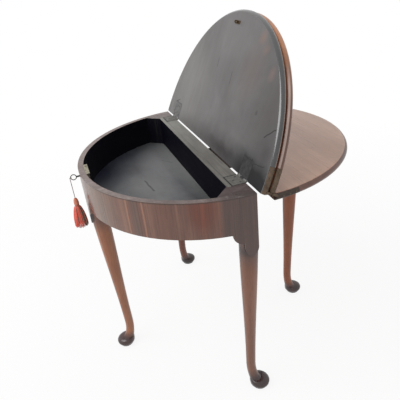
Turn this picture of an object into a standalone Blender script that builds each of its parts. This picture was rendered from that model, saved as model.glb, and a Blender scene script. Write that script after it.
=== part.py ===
"""Half-round card table: three leaves on edge hinges, a lidded well, a gate leg, a lock and its key.

Metres, +Z up. The flat back of the table looks along +Y and the bowed front along -Y.
The lid and the middle leaf stand open and lean back, the rear leaf lies level on the gate leg.
Leaves are drawn as they lie when shut, in the frame of the axis that carries them, and the
axes are then turned to the open position.
"""

import math

import bmesh
import bpy

# Frame and well
FRAME_TOP = 0.674          # height of the frieze's top edge
FRAME_RADIUS = 0.369       # outer radius of the bowed frieze
FRIEZE_DEPTH = 0.101       # frieze height between the leg tongues
FRIEZE_WALL = 0.016
WELL_DEPTH = 0.0947        # from the frieze's top down to the floor board
RAIL_DEPTH = 0.035         # back rail, front to back
STILE_WIDTH = 0.0613       # side legs' square stiles, from the frieze's end to the rail
LINER_THICK = 0.013        # board that lines the well against the back rail
CORNER_LAP = 0.005         # corner block's lap over the liner's end
CORNER_FORWARD = 0.040     # corner block's reach forward of the liner

# Tongues that lap over the tops of the three fixed legs
TONGUE_DROP = 0.070
TONGUE_WIDTH = 0.035
TONGUE_ROUND = 0.024       # height of the tongue's half-elliptic end
BRACKET_RADIUS = 0.030     # quarter round between frieze and tongue

# Legs
LEG_TOP_RADIUS = 0.0252
ANKLE_RADIUS = 0.0137
ANKLE_HEIGHT = 0.090
ANKLE_CROWD = 1.3          # how much closer the ankle's rings lie near the pad
PAD_RADIUS = 0.0300
PAD_HEIGHT = 0.016         # height of the pad foot's widest ring
PAD_TOP = 0.030            # where the pad's dome meets the ankle
NECK_RADIUS = 0.0175       # ankle where it rises from the dome
BASE_RADIUS = 0.0225       # thin disc under the pad
BASE_HEIGHT = 0.0045
FOOT_REACH = 0.0235        # pad centre in front of the ankle
LEG_LEAN = 0.0132          # ankle behind the axis of the leg's top
FRONT_LEG_INSET = 0.0265   # leg axis behind the frieze's front
SIDE_LEG_INSET = 0.028     # leg axis inside the frieze's ends
BACK_LEG_INSET = 0.0145    # leg axis in front of the rail's back
TOE_OUT = math.radians(62)  # side legs' feet, from the side towards the back

# Leaves
LEAF_OVERHANG = 0.015      # leaf beyond the frieze
LEAF_THICK = 0.018
LEAF_NOSE = 0.010          # how far the half-elliptic edge reaches inwards
LID_OPEN = math.radians(114.4)
LINK_TURN = math.radians(10)  # upper links from square to the middle leaf, on the open table
LEAF_GAP = 0.0012          # between leaves that lie on each other
LID_GAP = 0.0005           # between the frieze's top and the shut lid
PIN_BACK = 0.0032          # lid pin behind the back of the rail
LEAF_BACK = -0.002         # leaves' straight edge, from the lid pin

# Iron butt hinges of the lid
BUTT_WIDTH = 0.050
BUTT_INSET = 0.0277        # hinge's middle from the rail's end
BUTT_RAIL_REACH = 0.033
BUTT_LID_REACH = 0.052
BUTT_THICK = 0.0016
BUTT_BARREL = 0.0024
BUTT_PIN = 0.0012

# Brass edge hinges of the leaves
LINK_INSET = 0.005         # link pivots from the leaf's face and from its straight edge
LINK_HALF_WIDTH = 0.0031
LINK_THICK = 0.0019
LINK_STUD = 0.0015
LINK_STUD_LENGTH = 0.0045
ARM_LENGTH = 0.066
ARM_DEPTH = 0.008          # brass let into the leaf's edge
ARM_MARGIN = 0.0016        # wood left beside the arm
ARM_FACE = 0.0028          # from the leaf's outermost edge to the link's seat

# Gate
GATE_X = 0.001             # knuckle axis from the table's middle
GATE_REACH = 0.2815        # knuckle axis to the gate leg, along the fly rail
FLY_THICK = 0.020
FLY_INSET = 0.0077         # fixed knuckle rail's far end from the back rail's end
FLY_SHOULDER = 0.015       # fly rail's end before the gate leg's axis
KNUCKLE_GAP = 0.001
KNUCKLE_LAYERS = 5
KNUCKLE_PIN = 0.003
TENON_THICK = 0.008
TENON_MARGIN = 0.012       # tenon's shoulders at top and bottom
TENON_REACH = 0.013        # tenon's end before the leg's axis

# Lock and key
LOCK_WIDTH = 0.070
LOCK_HEIGHT = 0.044
LOCK_PLATE = 0.002
SELVEDGE = 0.0115          # top flange of the lock plate
SELVEDGE_RIM = 0.0012      # metal left behind the staple's slot
CAP_LEFT = -0.0155
CAP_RIGHT = 0.030
CAP_HEIGHT = 0.036
CAP_WALL = 0.0012
BOLT_LENGTH = 0.030
BOLT_THICK = 0.003
BOLT_HEIGHT = 0.0044
BOLT_REST = 0.001          # drawn bolt's tip before the staple
STAPLE_X = -0.020
STAPLE_THICK = 0.003
STAPLE_WIDTH = 0.0066
STAPLE_REACH = 0.0107      # below the lid's underside
STAPLE_FOOT = 0.0025       # bar under the staple's eye
STAPLE_EYE = 0.0052        # height of the eye
STAPLE_EYE_WIDTH = 0.0038
STAPLE_PLATE_LENGTH = 0.034
STAPLE_PLATE_WIDTH = 0.0095
STAPLE_PLATE_THICK = 0.0016
KEY_DROP = 0.016           # key axis below the frieze's top
KEY_SHAFT = 0.0025
BIT_THICK = 0.0025
BIT_LENGTH = 0.0042        # along the key
BIT_REACH = 0.0076         # from the key's axis
BOW_REACH = 0.017          # bow centre in front of the frieze
BOW_RADIUS = 0.0078        # to the middle of the ring's wire
BOW_WIRE = 0.0013

# Tassel
CORD_DIAMETER = 0.002
CORD_LENGTH = 0.064
HEAD_RADIUS = 0.0070
HEAD_HEIGHT = 0.024
HEAD_TOP_RADIUS = 0.0035
HEAD_FULLNESS = 0.7
SKIRT_TOP_RADIUS = 0.0055
SKIRT_RADIUS = 0.0190
SKIRT_HEIGHT = 0.074
SKIRT_FLARE = 0.6

# Clearances and facets
FIT = 0.0003               # between pieces that touch
RUN = 0.0004               # round pieces that turn
OVERLAP = 0.002            # shapes joined into one piece, and cutters past a face
ARC_STEPS = 56
ROUND_STEPS = 20
SMALL_STEPS = 14
WIRE_STEPS = 8
PROFILE_STEPS = 8          # heights of the tassel's head and skirt
LEAF_STEPS = 10            # heights of a leaf's rounded edge
ARM_STEPS = 10
CORNER_STEPS = 5
BRACKET_STEPS = 6
TONGUE_STEPS = 12
PLAIN_STEPS = 18           # frieze between two tongues
PAD_STEPS = 4
SHAFT_STEPS = 7
CORD_STEPS = 13
SHARP_ANGLE = math.radians(35)

# Places worked out from the sizes
FRAME_BOTTOM = FRAME_TOP - FRIEZE_DEPTH
INNER_RADIUS = FRAME_RADIUS - FRIEZE_WALL
LEAF_RADIUS = FRAME_RADIUS + LEAF_OVERHANG
RAIL_HALF = FRAME_RADIUS - STILE_WIDTH
BUTT_CENTRE = RAIL_HALF - BUTT_INSET
FLY_END = RAIL_HALF - FLY_INSET
FITTED_RADIUS = INNER_RADIUS - FIT
LINER_BACK = -RAIL_DEPTH - FIT
LINER_FRONT = LINER_BACK - LINER_THICK
PIN_HEIGHT = FRAME_TOP + LID_GAP / 2
LID_FOOT = LID_GAP / 2
MIDDLE_FOOT = LID_FOOT + LEAF_THICK + LEAF_GAP
REAR_FOOT = MIDDLE_FOOT + LEAF_THICK + LEAF_GAP
PIVOT_Y = LEAF_BACK - LINK_INSET
LID_PIVOT = LID_FOOT + LEAF_THICK - LINK_INSET
MIDDLE_LOW_PIVOT = MIDDLE_FOOT + LINK_INSET
MIDDLE_HIGH_PIVOT = MIDDLE_FOOT + LEAF_THICK - LINK_INSET
REAR_PIVOT = REAR_FOOT + LINK_INSET
LINK_SPAN = MIDDLE_LOW_PIVOT - LID_PIVOT
REAR_TURN = math.pi - LID_OPEN - LINK_TURN  # rear leaf from its links, so that it lies level
FRONT_FACE = -FRAME_RADIUS
KEY_HEIGHT = FRAME_TOP - KEY_DROP
BOW_Y = FRONT_FACE - BOW_REACH
BOW_FRONT = BOW_Y - BOW_RADIUS - BOW_WIRE
LOCK_SEAT = -INNER_RADIUS                # flat seat cut into the frieze's inside
PLATE_BACK = LOCK_SEAT + FIT + LOCK_PLATE
SELVEDGE_END = LOCK_SEAT + FIT + SELVEDGE
STAPLE_Y = SELVEDGE_END - SELVEDGE_RIM - STAPLE_WIDTH / 2
STAPLE_END = LID_FOOT - STAPLE_REACH     # lowest point of the staple, from the lid pin
EYE_LOW = STAPLE_END + STAPLE_FOOT
BOLT_HEIGHT_Z = PIN_HEIGHT + EYE_LOW + STAPLE_EYE / 2
BOLT_Y = STAPLE_Y


def open_place(y, z):
    """Where a point of the shut lid lies once the lid is open, both from the lid pin."""
    c, s = math.cos(LID_OPEN), math.sin(LID_OPEN)
    return y * c + z * s, z * c - y * s


def rear_leaf_place():
    """Straight edge (y) and top face (z) of the level rear leaf, from the lid pin."""
    y, z = open_place(PIVOT_Y, MIDDLE_HIGH_PIVOT)
    turn = LID_OPEN + LINK_TURN
    return (y + LINK_SPAN * math.sin(turn) - LINK_INSET,
            z + LINK_SPAN * math.cos(turn) + LINK_INSET)


REAR_EDGE, REAR_TOP = rear_leaf_place()
GATE_TOP = PIN_HEIGHT + REAR_TOP - LEAF_THICK - FIT
GATE_Y = FIT + FLY_THICK / 2
GATE_LEG_OFFSET = LEG_TOP_RADIUS - FLY_THICK / 2 + FIT
BACK_REACH = PIN_BACK + REAR_EDGE + LEAF_RADIUS
SHIFT_Y = -(BACK_REACH + BOW_FRONT) / 2  # brings the middle of the object over the origin


# Materials
FINISHES = {
    "frieze_veneer": ((0.150, 0.070, 0.045), 0.30, 0.0),
    "leaf_mahogany": ((0.200, 0.105, 0.070), 0.28, 0.0),
    "lid_black": ((0.030, 0.029, 0.030), 0.42, 0.0),
    "leg_mahogany": ((0.170, 0.075, 0.045), 0.32, 0.0),
    "gate_mahogany": ((0.210, 0.085, 0.045), 0.36, 0.0),
    "rail_oak": ((0.110, 0.095, 0.080), 0.60, 0.0),
    "well_black": ((0.012, 0.012, 0.016), 0.55, 0.0),
    "iron": ((0.060, 0.058, 0.056), 0.50, 0.9),
    "brass": ((0.320, 0.235, 0.130), 0.42, 0.9),
    "steel": ((0.120, 0.118, 0.115), 0.38, 0.9),
    "cord_silk": ((0.230, 0.080, 0.075), 0.80, 0.0),
    "tassel_silk": ((0.480, 0.070, 0.040), 0.75, 0.0),
}


def finish(name):
    """The material of this name, made on first use."""
    found = bpy.data.materials.get(name)
    if found:
        return found
    colour, roughness, metallic = FINISHES[name]
    made = bpy.data.materials.new(name)
    made.use_nodes = True
    shader = made.node_tree.nodes["Principled BSDF"]
    shader.inputs["Base Color"].default_value = (*colour, 1.0)
    shader.inputs["Roughness"].default_value = roughness
    shader.inputs["Metallic"].default_value = metallic
    return made


# Shapes
def ring_of(radius, steps, centre=(0.0, 0.0), start=0.0, sweep=2 * math.pi, closed=True):
    """Points on a circle or an arc."""
    count = steps if closed else steps + 1
    return [(centre[0] + radius * math.cos(start + sweep * i / steps),
             centre[1] + radius * math.sin(start + sweep * i / steps)) for i in range(count)]


def box_outline(low, high):
    """Corners of an upright rectangle."""
    return [(low[0], low[1]), (high[0], low[1]), (high[0], high[1]), (low[0], high[1])]


def placed(axis, point, along):
    """A point of a profile drawn across this axis, at a place along it."""
    a, b = point
    return {"X": (along, a, b), "Y": (a, along, b), "Z": (a, b, along)}[axis]


def loft(rings, closed=False):
    """Skin over rings of equally many points, with flat ends, or none where the rings meet."""
    mesh = bmesh.new()
    rows = [[mesh.verts.new(p) for p in ring] for ring in rings]
    pairs = list(zip(rows, rows[1:] + rows[:1] if closed else rows[1:]))
    for low, high in pairs:
        for i in range(len(low)):
            j = (i + 1) % len(low)
            mesh.faces.new((low[i], low[j], high[j], high[i]))
    if not closed:
        mesh.faces.new(rows[0])
        mesh.faces.new(rows[-1])
    bmesh.ops.recalc_face_normals(mesh, faces=mesh.faces)
    return mesh


def prism(axis, outline, low, high):
    """An outline carried straight along an axis."""
    return loft([[placed(axis, p, at) for p in outline] for at in (low, high)])


def block(low, high):
    """A rectangular block between two corners."""
    return prism("Z", box_outline(low[:2], high[:2]), low[2], high[2])


def rod(axis, centre, radius, low, high, steps=SMALL_STEPS):
    """A round rod along an axis."""
    return prism(axis, ring_of(radius, steps, centre), low, high)


def gathered(*meshes):
    """Several shapes in one mesh, for a cutter."""
    whole = bmesh.new()
    for mesh in meshes:
        held = bpy.data.meshes.new("held")
        mesh.to_mesh(held)
        mesh.free()
        whole.from_mesh(held)
        bpy.data.meshes.remove(held)
    return whole


def moved(mesh, offset):
    """The same shape, shifted."""
    bmesh.ops.translate(mesh, verts=mesh.verts, vec=offset)
    return mesh


def axis_empty(name, place, parent=None, turn=(0.0, 0.0, 0.0)):
    """An axis that pieces are parented to."""
    empty = bpy.data.objects.new(name, None)
    empty.empty_display_size = 0.02
    bpy.context.scene.collection.objects.link(empty)
    empty.parent = parent
    empty.location = place
    empty.rotation_euler = turn
    return empty


def piece(name, mesh, material, parent):
    """A named piece of the table."""
    data = bpy.data.meshes.new(name)
    mesh.to_mesh(data)
    mesh.free()
    made = bpy.data.objects.new(name, data)
    bpy.context.scene.collection.objects.link(made)
    made.parent = parent
    data.materials.append(finish(material))
    data.shade_smooth()
    data.set_sharp_from_angle(angle=SHARP_ANGLE)
    return made


def shape(target, operation, mesh):
    """Cuts a shape from a piece, joins it on, or keeps what they share."""
    data = bpy.data.meshes.new(target.name + "_tool")
    mesh.to_mesh(data)
    mesh.free()
    tool = bpy.data.objects.new(target.name + "_tool", data)
    bpy.context.scene.collection.objects.link(tool)
    tool.parent = target.parent
    tool.hide_render = True
    tool.display_type = "WIRE"
    step = target.modifiers.new(operation.lower(), "BOOLEAN")
    step.operation = operation
    step.object = tool


# Frieze
def tongue_edge(grow, mirrored):
    """Bottom edge beside a tongue: distance along the frieze from the tongue's middle, and drop.

    It runs from the frieze's straight edge down a quarter round and round the tongue's end.
    A mirrored edge has the quarter round on both sides, else only on the left.
    """
    half = TONGUE_WIDTH / 2
    left = []
    for i in range(BRACKET_STEPS + 1):
        turn = math.pi / 2 * i / BRACKET_STEPS
        left.append((-half - BRACKET_RADIUS * math.cos(turn), BRACKET_RADIUS * math.sin(turn)))
    left = [(s - grow, drop + grow) for s, drop in left[:-1]]
    left += [(-half - 2 * grow - FIT, BRACKET_RADIUS + grow)]
    side = TONGUE_DROP - TONGUE_ROUND
    turns = [math.pi * i / TONGUE_STEPS for i in range(TONGUE_STEPS + 1)]
    end = [(-(half + grow) * math.cos(turn), side + grow + TONGUE_ROUND * math.sin(turn)) for turn in turns]
    right = [(-s, drop) for s, drop in reversed(left)] if mirrored else []
    return left + end + right


def frieze_edge(grow=0.0):
    """Whole bottom edge as (angle round the frieze, height), from the right end round to the left."""
    to_angle = 1.0 / FRAME_RADIUS
    end_half = TONGUE_WIDTH / 2
    corner = tongue_edge(grow, mirrored=False)
    quarter = [((s - end_half) * to_angle, drop) for s, drop in reversed(corner)]
    front = [(-math.pi / 2 - s * to_angle, drop) for s, drop in tongue_edge(grow, mirrored=True)]
    low, high = quarter[-1][0], front[0][0]
    plain = [(low + (high - low) * i / PLAIN_STEPS, grow) for i in range(1, PLAIN_STEPS)]
    right_half = quarter + plain + front[:len(front) // 2 + 1]
    left_half = [(-math.pi - a, drop) for a, drop in reversed(right_half[:-1])]
    return [(a, FRAME_BOTTOM - drop) for a, drop in right_half + left_half]


def frieze_shell(grow=0.0):
    """The bowed wall: the same four-cornered section carried round, with its foot on the shaped edge."""
    rings = []
    for angle, foot in frieze_edge(grow):
        c, s = math.cos(angle), math.sin(angle)
        inner, outer = INNER_RADIUS - grow, FRAME_RADIUS + grow
        rings.append([(outer * c, outer * s, foot), (outer * c, outer * s, FRAME_TOP + grow),
                      (inner * c, inner * s, FRAME_TOP + grow), (inner * c, inner * s, foot)])
    return loft(rings)


def add_frieze(table):
    """Frieze with the lock's flat seat and the keyhole."""
    frieze = piece("frieze", frieze_shell(), "frieze_veneer", table)
    seat = block((-LOCK_WIDTH / 2 - FIT, LOCK_SEAT, FRAME_TOP - LOCK_HEIGHT - FIT),
                 (LOCK_WIDTH / 2 + FIT, LOCK_SEAT + FRIEZE_WALL, FRAME_TOP + OVERLAP))
    shape(frieze, "DIFFERENCE", seat)
    shape(frieze, "DIFFERENCE", keyhole(FRONT_FACE - OVERLAP, LOCK_SEAT + OVERLAP))


def keyhole(low, high):
    """Round hole with the slot that lets the key's bit through, along Y."""
    radius = KEY_SHAFT + RUN
    half = BIT_THICK / 2 + RUN
    foot = KEY_HEIGHT - BIT_REACH - RUN
    open_half = math.asin(half / radius)
    sweep = 2 * (math.pi - open_half)
    arc = ring_of(radius, SMALL_STEPS, (0.0, KEY_HEIGHT), open_half - math.pi / 2, sweep, closed=False)
    return prism("Y", arc + [(-half, foot), (half, foot)], low, high)


# Well and back
def add_well(table):
    """Back rail, liner, corner blocks and floor."""
    rail = piece("back_rail", block((-RAIL_HALF, -RAIL_DEPTH, FRAME_BOTTOM), (RAIL_HALF, 0.0, FRAME_TOP)),
                 "rail_oak", table)
    for side in (1, -1):
        x = side * BUTT_CENTRE
        half = BUTT_WIDTH / 2 + FIT
        shape(rail, "DIFFERENCE", block((x - half, -BUTT_RAIL_REACH - FIT, FRAME_TOP - BUTT_THICK - FIT),
                                        (x + half, OVERLAP, FRAME_TOP + OVERLAP)))
    piece("well_liner", block((-RAIL_HALF, LINER_FRONT, FRAME_BOTTOM), (RAIL_HALF, LINER_BACK, FRAME_TOP)),
          "rail_oak", table)

    corner_back = LINER_FRONT - FIT
    corner_inner = RAIL_HALF - CORNER_LAP
    back_turn = math.asin(-corner_back / FITTED_RADIUS)
    front_turn = math.asin((CORNER_FORWARD - corner_back) / FITTED_RADIUS)
    bow = ring_of(FITTED_RADIUS, CORNER_STEPS, start=-front_turn, sweep=front_turn - back_turn, closed=False)
    corner = bow + [(corner_inner, corner_back)]
    for side, name in ((1, "right_corner_block"), (-1, "left_corner_block")):
        outline = [(side * x, y) for x, y in corner]
        piece(name, prism("Z", outline, FRAME_BOTTOM, FRAME_TOP), "leg_mahogany", table)

    floor_turn = front_turn + 2 * FIT / FITTED_RADIUS
    sweep = math.pi - 2 * floor_turn
    front = ring_of(FITTED_RADIUS, ARC_STEPS, start=-floor_turn - sweep, sweep=sweep, closed=False)
    floor_half = corner_inner - 2 * FIT
    floor = front + [(floor_half, corner_back), (-floor_half, corner_back)]
    piece("well_floor", prism("Z", floor, FRAME_BOTTOM, FRAME_TOP - WELL_DEPTH), "well_black", table)


# Legs
def smooth(u):
    """Eases from 0 to 1."""
    u = min(max(u, 0.0), 1.0)
    return u * u * (3 - 2 * u)


def leg_stations(top):
    """Height, radius and forward shift of the leg's rings, from the floor up.

    A disc, the pad's rounded underside, its dome whose rings share one line at the back, the
    ankle that leans back from it, and the shaft that swells towards its top.
    """
    stations = [(0.0, BASE_RADIUS, FOOT_REACH), (BASE_HEIGHT, BASE_RADIUS, FOOT_REACH)]
    rim = BASE_RADIUS + RUN
    foot = BASE_HEIGHT + RUN
    for i in range(PAD_STEPS):
        turn = math.pi / 2 * i / (PAD_STEPS - 1)
        height = foot + (PAD_HEIGHT - foot) * (1 - math.cos(turn))
        stations.append((height, rim + (PAD_RADIUS - rim) * math.sin(turn), FOOT_REACH))
    for i in range(1, PAD_STEPS + 1):
        turn = math.pi / 2 * i / PAD_STEPS
        height = PAD_HEIGHT + (PAD_TOP - PAD_HEIGHT) * math.sin(turn)
        radius = NECK_RADIUS + (PAD_RADIUS - NECK_RADIUS) * math.cos(turn)
        stations.append((height, radius, FOOT_REACH - PAD_RADIUS + radius))
    neck_shift = FOOT_REACH - PAD_RADIUS + NECK_RADIUS
    for i in range(1, CORNER_STEPS + 1):
        left = 1 - i / CORNER_STEPS
        height = PAD_TOP + (ANKLE_HEIGHT - PAD_TOP) * (1 - left) ** ANKLE_CROWD
        radius = ANKLE_RADIUS + (NECK_RADIUS - ANKLE_RADIUS) * left ** 3
        stations.append((height, radius, neck_shift * left ** 2))
    shoulder = FRAME_BOTTOM - FIT
    for i in range(1, SHAFT_STEPS + 1):
        along = i / SHAFT_STEPS
        radius = ANKLE_RADIUS + (LEG_TOP_RADIUS - ANKLE_RADIUS) * smooth(along)
        stations.append((ANKLE_HEIGHT + (shoulder - ANKLE_HEIGHT) * along, radius, 0.0))
    if top > shoulder:
        stations.append((top, LEG_TOP_RADIUS, 0.0))
    return stations


def leg_lean(z):
    """How far the leg's axis has leant in at this height: nothing under the frame, all at the ankle."""
    shoulder = FRAME_BOTTOM - FIT
    return LEG_LEAN * min(1.0, max(0.0, (shoulder - z) / (shoulder - ANKLE_HEIGHT)))


def turned_leg(place, toe, top):
    """A turned leg whose pad foot steps out along toe, a level direction."""
    rings = []
    for z, radius, shift in leg_stations(top):
        step = shift - leg_lean(z)
        centre = (place[0] + toe[0] * step, place[1] + toe[1] * step)
        rings.append([(x, y, z) for x, y in ring_of(radius, ROUND_STEPS, centre)])
    return loft(rings)


def add_legs(table):
    """The three fixed legs, let in behind the frieze's tongues. The side legs run up as square stiles."""
    top = FRAME_BOTTOM - FIT
    front = turned_leg((0.0, FRONT_FACE + FRONT_LEG_INSET), (0.0, -1.0), top)
    shape(piece("front_leg", front, "leg_mahogany", table), "DIFFERENCE", frieze_shell(FIT))
    for side, name in ((1, "right_leg"), (-1, "left_leg")):
        place = (side * (FRAME_RADIUS - SIDE_LEG_INSET), -BACK_LEG_INSET)
        toe = (side * math.cos(TOE_OUT), math.sin(TOE_OUT))
        leg = piece(name, turned_leg(place, toe, top), "leg_mahogany", table)
        ends = sorted((side * (RAIL_HALF + FIT), side * (INNER_RADIUS + FRIEZE_WALL / 2)))
        shape(leg, "UNION", block((ends[0], LINER_FRONT, top - OVERLAP), (ends[1], 0.0, FRAME_TOP)))
        shape(leg, "DIFFERENCE", frieze_shell(FIT))


# Gate
def finger(layer, height, far):
    """One finger of the wooden knuckle: round about the axis, square where it joins its rail along +Y."""
    radius = FLY_THICK / 2
    low = FRAME_BOTTOM + height * layer + (FIT / 2 if layer else 0.0)
    high = FRAME_BOTTOM + height * (layer + 1) - (FIT / 2 if layer < KNUCKLE_LAYERS - 1 else 0.0)
    outline = ring_of(radius, SMALL_STEPS, start=math.pi, sweep=math.pi, closed=False)
    return prism("Z", outline + [(radius, far), (-radius, far)], low, high)


def knuckle_rail(length, layers):
    """A rail along +Y from the knuckle axis, with fingers in these layers."""
    near = FLY_THICK / 2 + KNUCKLE_GAP
    half = FLY_THICK / 2
    height = (GATE_TOP - FRAME_BOTTOM) / KNUCKLE_LAYERS
    body = block((-half, near, FRAME_BOTTOM), (half, length, GATE_TOP))
    fingers = gathered(*[finger(layer, height, near + OVERLAP) for layer in layers])
    hole = rod("Z", (0.0, 0.0), KNUCKLE_PIN + RUN, FRAME_BOTTOM - OVERLAP, GATE_TOP + OVERLAP)
    return body, fingers, hole


def add_gate(table):
    """Fixed knuckle rail, swinging fly rail with its leg, and the knuckle pin."""
    even = range(0, KNUCKLE_LAYERS, 2)
    odd = range(1, KNUCKLE_LAYERS, 2)
    fixed_axis = axis_empty("knuckle_axis", (GATE_X, GATE_Y, 0.0), table, (0.0, 0.0, -math.pi / 2))
    body, fingers, hole = knuckle_rail(FLY_END - GATE_X, even)
    fixed = piece("knuckle_rail", body, "rail_oak", fixed_axis)
    shape(fixed, "UNION", fingers)
    shape(fixed, "DIFFERENCE", hole)
    pin = rod("Z", (0.0, 0.0), KNUCKLE_PIN, FRAME_BOTTOM, GATE_TOP)
    piece("knuckle_pin", pin, "iron", fixed_axis)

    gate = axis_empty("gate_axis", (GATE_X, GATE_Y, 0.0), table)
    leg_place = (GATE_LEG_OFFSET, GATE_REACH)
    body, fingers, hole = knuckle_rail(GATE_REACH - FLY_SHOULDER, odd)
    fly = piece("fly_rail", body, "gate_mahogany", gate)
    shape(fly, "UNION", fingers)
    shape(fly, "DIFFERENCE", hole)
    shape(fly, "DIFFERENCE", rod("Z", leg_place, LEG_TOP_RADIUS + FIT, FRAME_BOTTOM - OVERLAP,
                                 GATE_TOP + OVERLAP, ROUND_STEPS * 2))
    shape(fly, "UNION", tenon(leg_place, 0.0))
    leg = piece("gate_leg", turned_leg(leg_place, (0.0, 1.0), GATE_TOP), "gate_mahogany", gate)
    shape(leg, "DIFFERENCE", tenon(leg_place, FIT))


def tenon(leg_place, grow):
    """Tenon of the fly rail inside the gate leg, or its mortise when grown."""
    half = TENON_THICK / 2 + grow
    end = leg_place[1] - TENON_REACH + grow
    start = leg_place[1] - LEG_TOP_RADIUS - OVERLAP
    return block((-half + FLY_THICK / 4, start, FRAME_BOTTOM + TENON_MARGIN - grow),
                 (half + FLY_THICK / 4, end, GATE_TOP - TENON_MARGIN + grow))


# Leaves
def edge_round(depth):
    """How far the straight edge draws back at this depth below a rounded face."""
    if depth >= LINK_INSET:
        return 0.0
    return LINK_INSET - math.sqrt(LINK_INSET ** 2 - (LINK_INSET - depth) ** 2)


def leaf_form(foot, round_foot, round_top):
    """A half-round leaf with a half-elliptic edge, and a straight edge rounded where it folds."""
    rings = []
    for i in range(LEAF_STEPS + 1):
        turn = math.pi * i / LEAF_STEPS - math.pi / 2
        height = LEAF_THICK / 2 * (1 + math.sin(turn))
        radius = LEAF_RADIUS - LEAF_NOSE * (1 - math.cos(turn))
        back = 0.0
        if round_foot:
            back = max(back, edge_round(height))
        if round_top:
            back = max(back, edge_round(LEAF_THICK - height))
        clip = math.asin(back / radius)
        arc = ring_of(radius, ARC_STEPS, start=math.pi + clip, sweep=math.pi - 2 * clip, closed=False)
        rings.append([(x, y + LEAF_BACK, foot + height) for x, y in arc])
    return loft(rings)


def arm_outline(foot, pivots, grow):
    """Side view (y, z) of a hinge arm: a strip along the leaf's edge, rounded at each pivot."""
    low = foot + ARM_MARGIN - grow
    high = foot + LEAF_THICK - ARM_MARGIN + grow
    back = LEAF_BACK - FIT + grow
    front = LEAF_BACK - ARM_LENGTH - grow
    radius = LINK_INSET - FIT + grow
    outline = [(front, low)]
    low_pivots = [z for z in pivots if z < foot + LEAF_THICK / 2]
    high_pivots = [z for z in pivots if z > foot + LEAF_THICK / 2]
    outline += corner_arc(low_pivots, radius, low, high, back, lower=True)
    outline += corner_arc(high_pivots, radius, low, high, back, lower=False)
    return outline + [(front, high)]


def corner_arc(pivots, radius, low, high, back, lower):
    """The arm's back corner, rounded about its pivot and clipped by the strip's edge."""
    if not pivots:
        return [(back, low if lower else high)]
    rise = min(1.0, ((pivots[0] - low) if lower else (high - pivots[0])) / radius)
    turn = math.asin(rise)
    points = []
    sign = -1 if lower else 1
    for i in range(CORNER_STEPS):
        angle = turn * i / (CORNER_STEPS - 1)
        points.append((PIVOT_Y + radius * math.cos(angle), pivots[0] + sign * radius * math.sin(angle)))
    return list(reversed(points)) if lower else points


def arm_form(side, foot, pivots, grow=0.0):
    """Hinge arm before it is trimmed to the leaf's edge: its side view swept along the curved edge."""
    inner = LEAF_RADIUS - ARM_DEPTH - grow
    outer = LEAF_RADIUS + OVERLAP
    outline = arm_outline(foot, pivots, grow)
    mesh = prism("X", outline, inner, outer)
    front = LEAF_BACK - ARM_LENGTH - grow
    for i in range(1, ARM_STEPS):
        at = front + (ARM_LENGTH + grow) * i / ARM_STEPS
        bmesh.ops.bisect_plane(mesh, geom=mesh.verts[:] + mesh.edges[:] + mesh.faces[:],
                               plane_co=(0.0, at, 0.0), plane_no=(0.0, 1.0, 0.0))
    for v in mesh.verts:
        run = v.co.y - LEAF_BACK
        v.co.x = side * math.sqrt(v.co.x ** 2 - min(run, 0.0) ** 2)
    bmesh.ops.recalc_face_normals(mesh, faces=mesh.faces)
    return mesh


def add_arm(name, side, foot, pivots, rounds, origin, parent):
    """Hinge arm let into a leaf's edge, with the seats and stud holes of its links."""
    arm = piece(name, moved(arm_form(side, foot, pivots), origin), "brass", parent)
    shape(arm, "INTERSECT", moved(leaf_form(foot, *rounds), origin))
    seat = LEAF_RADIUS - ARM_FACE
    clear = LINK_HALF_WIDTH + RUN
    for z in pivots:
        below = z < foot + LEAF_THICK / 2
        low, high = (foot - OVERLAP, z + clear) if below else (z - clear, foot + LEAF_THICK + OVERLAP)
        xs = sorted((side * seat, side * (LEAF_RADIUS + OVERLAP)))
        shape(arm, "DIFFERENCE", moved(block((xs[0], PIVOT_Y - clear, low), (xs[1], OVERLAP, high)), origin))
        xs = sorted((side * (LEAF_RADIUS - ARM_DEPTH - OVERLAP), side * (LEAF_RADIUS + OVERLAP)))
        shape(arm, "DIFFERENCE", moved(rod("X", (PIVOT_Y, z), LINK_STUD + RUN, *xs), origin))


def add_link(name, side, low_pivot, origin, parent):
    """Two-pin link between two hinge arms: a round-ended plate with a stud at each end."""
    start = side * (LEAF_RADIUS - ARM_FACE + FIT)
    face = start + side * LINK_THICK
    high_pivot = low_pivot + LINK_SPAN
    outline = ring_of(LINK_HALF_WIDTH, WIRE_STEPS, (PIVOT_Y, low_pivot), math.pi, math.pi, closed=False)
    outline += ring_of(LINK_HALF_WIDTH, WIRE_STEPS, (PIVOT_Y, high_pivot), 0.0, math.pi, closed=False)
    link = piece(name, moved(prism("X", outline, *sorted((start, face))), origin), "brass", parent)
    for z in (low_pivot, high_pivot):
        ends = sorted((start + side * LINK_THICK / 2, start - side * LINK_STUD_LENGTH))
        shape(link, "UNION", moved(rod("X", (PIVOT_Y, z), LINK_STUD, *ends), origin))


def add_leaf(name, foot, pivots, rounds, origin, parent, material):
    """A leaf with the pockets of its hinge arms and room for the lid hinges' barrels."""
    leaf = piece(name, moved(leaf_form(foot, *rounds), origin), material, parent)
    for side in (1, -1):
        pocket = arm_form(side, foot, pivots, FIT)
        shape(leaf, "DIFFERENCE", moved(pocket, origin))
        end = sorted((side * (LEAF_RADIUS - ARM_FACE - FIT), side * (LEAF_RADIUS + OVERLAP)))
        reach = LINK_HALF_WIDTH + RUN
        low = foot - OVERLAP if rounds[0] else pivots[0] - reach
        high = foot + LEAF_THICK + OVERLAP if rounds[1] else pivots[-1] + reach
        room = block((end[0], PIVOT_Y - reach, low), (end[1], OVERLAP, high))
        shape(leaf, "DIFFERENCE", moved(room, origin))
    return leaf


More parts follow.
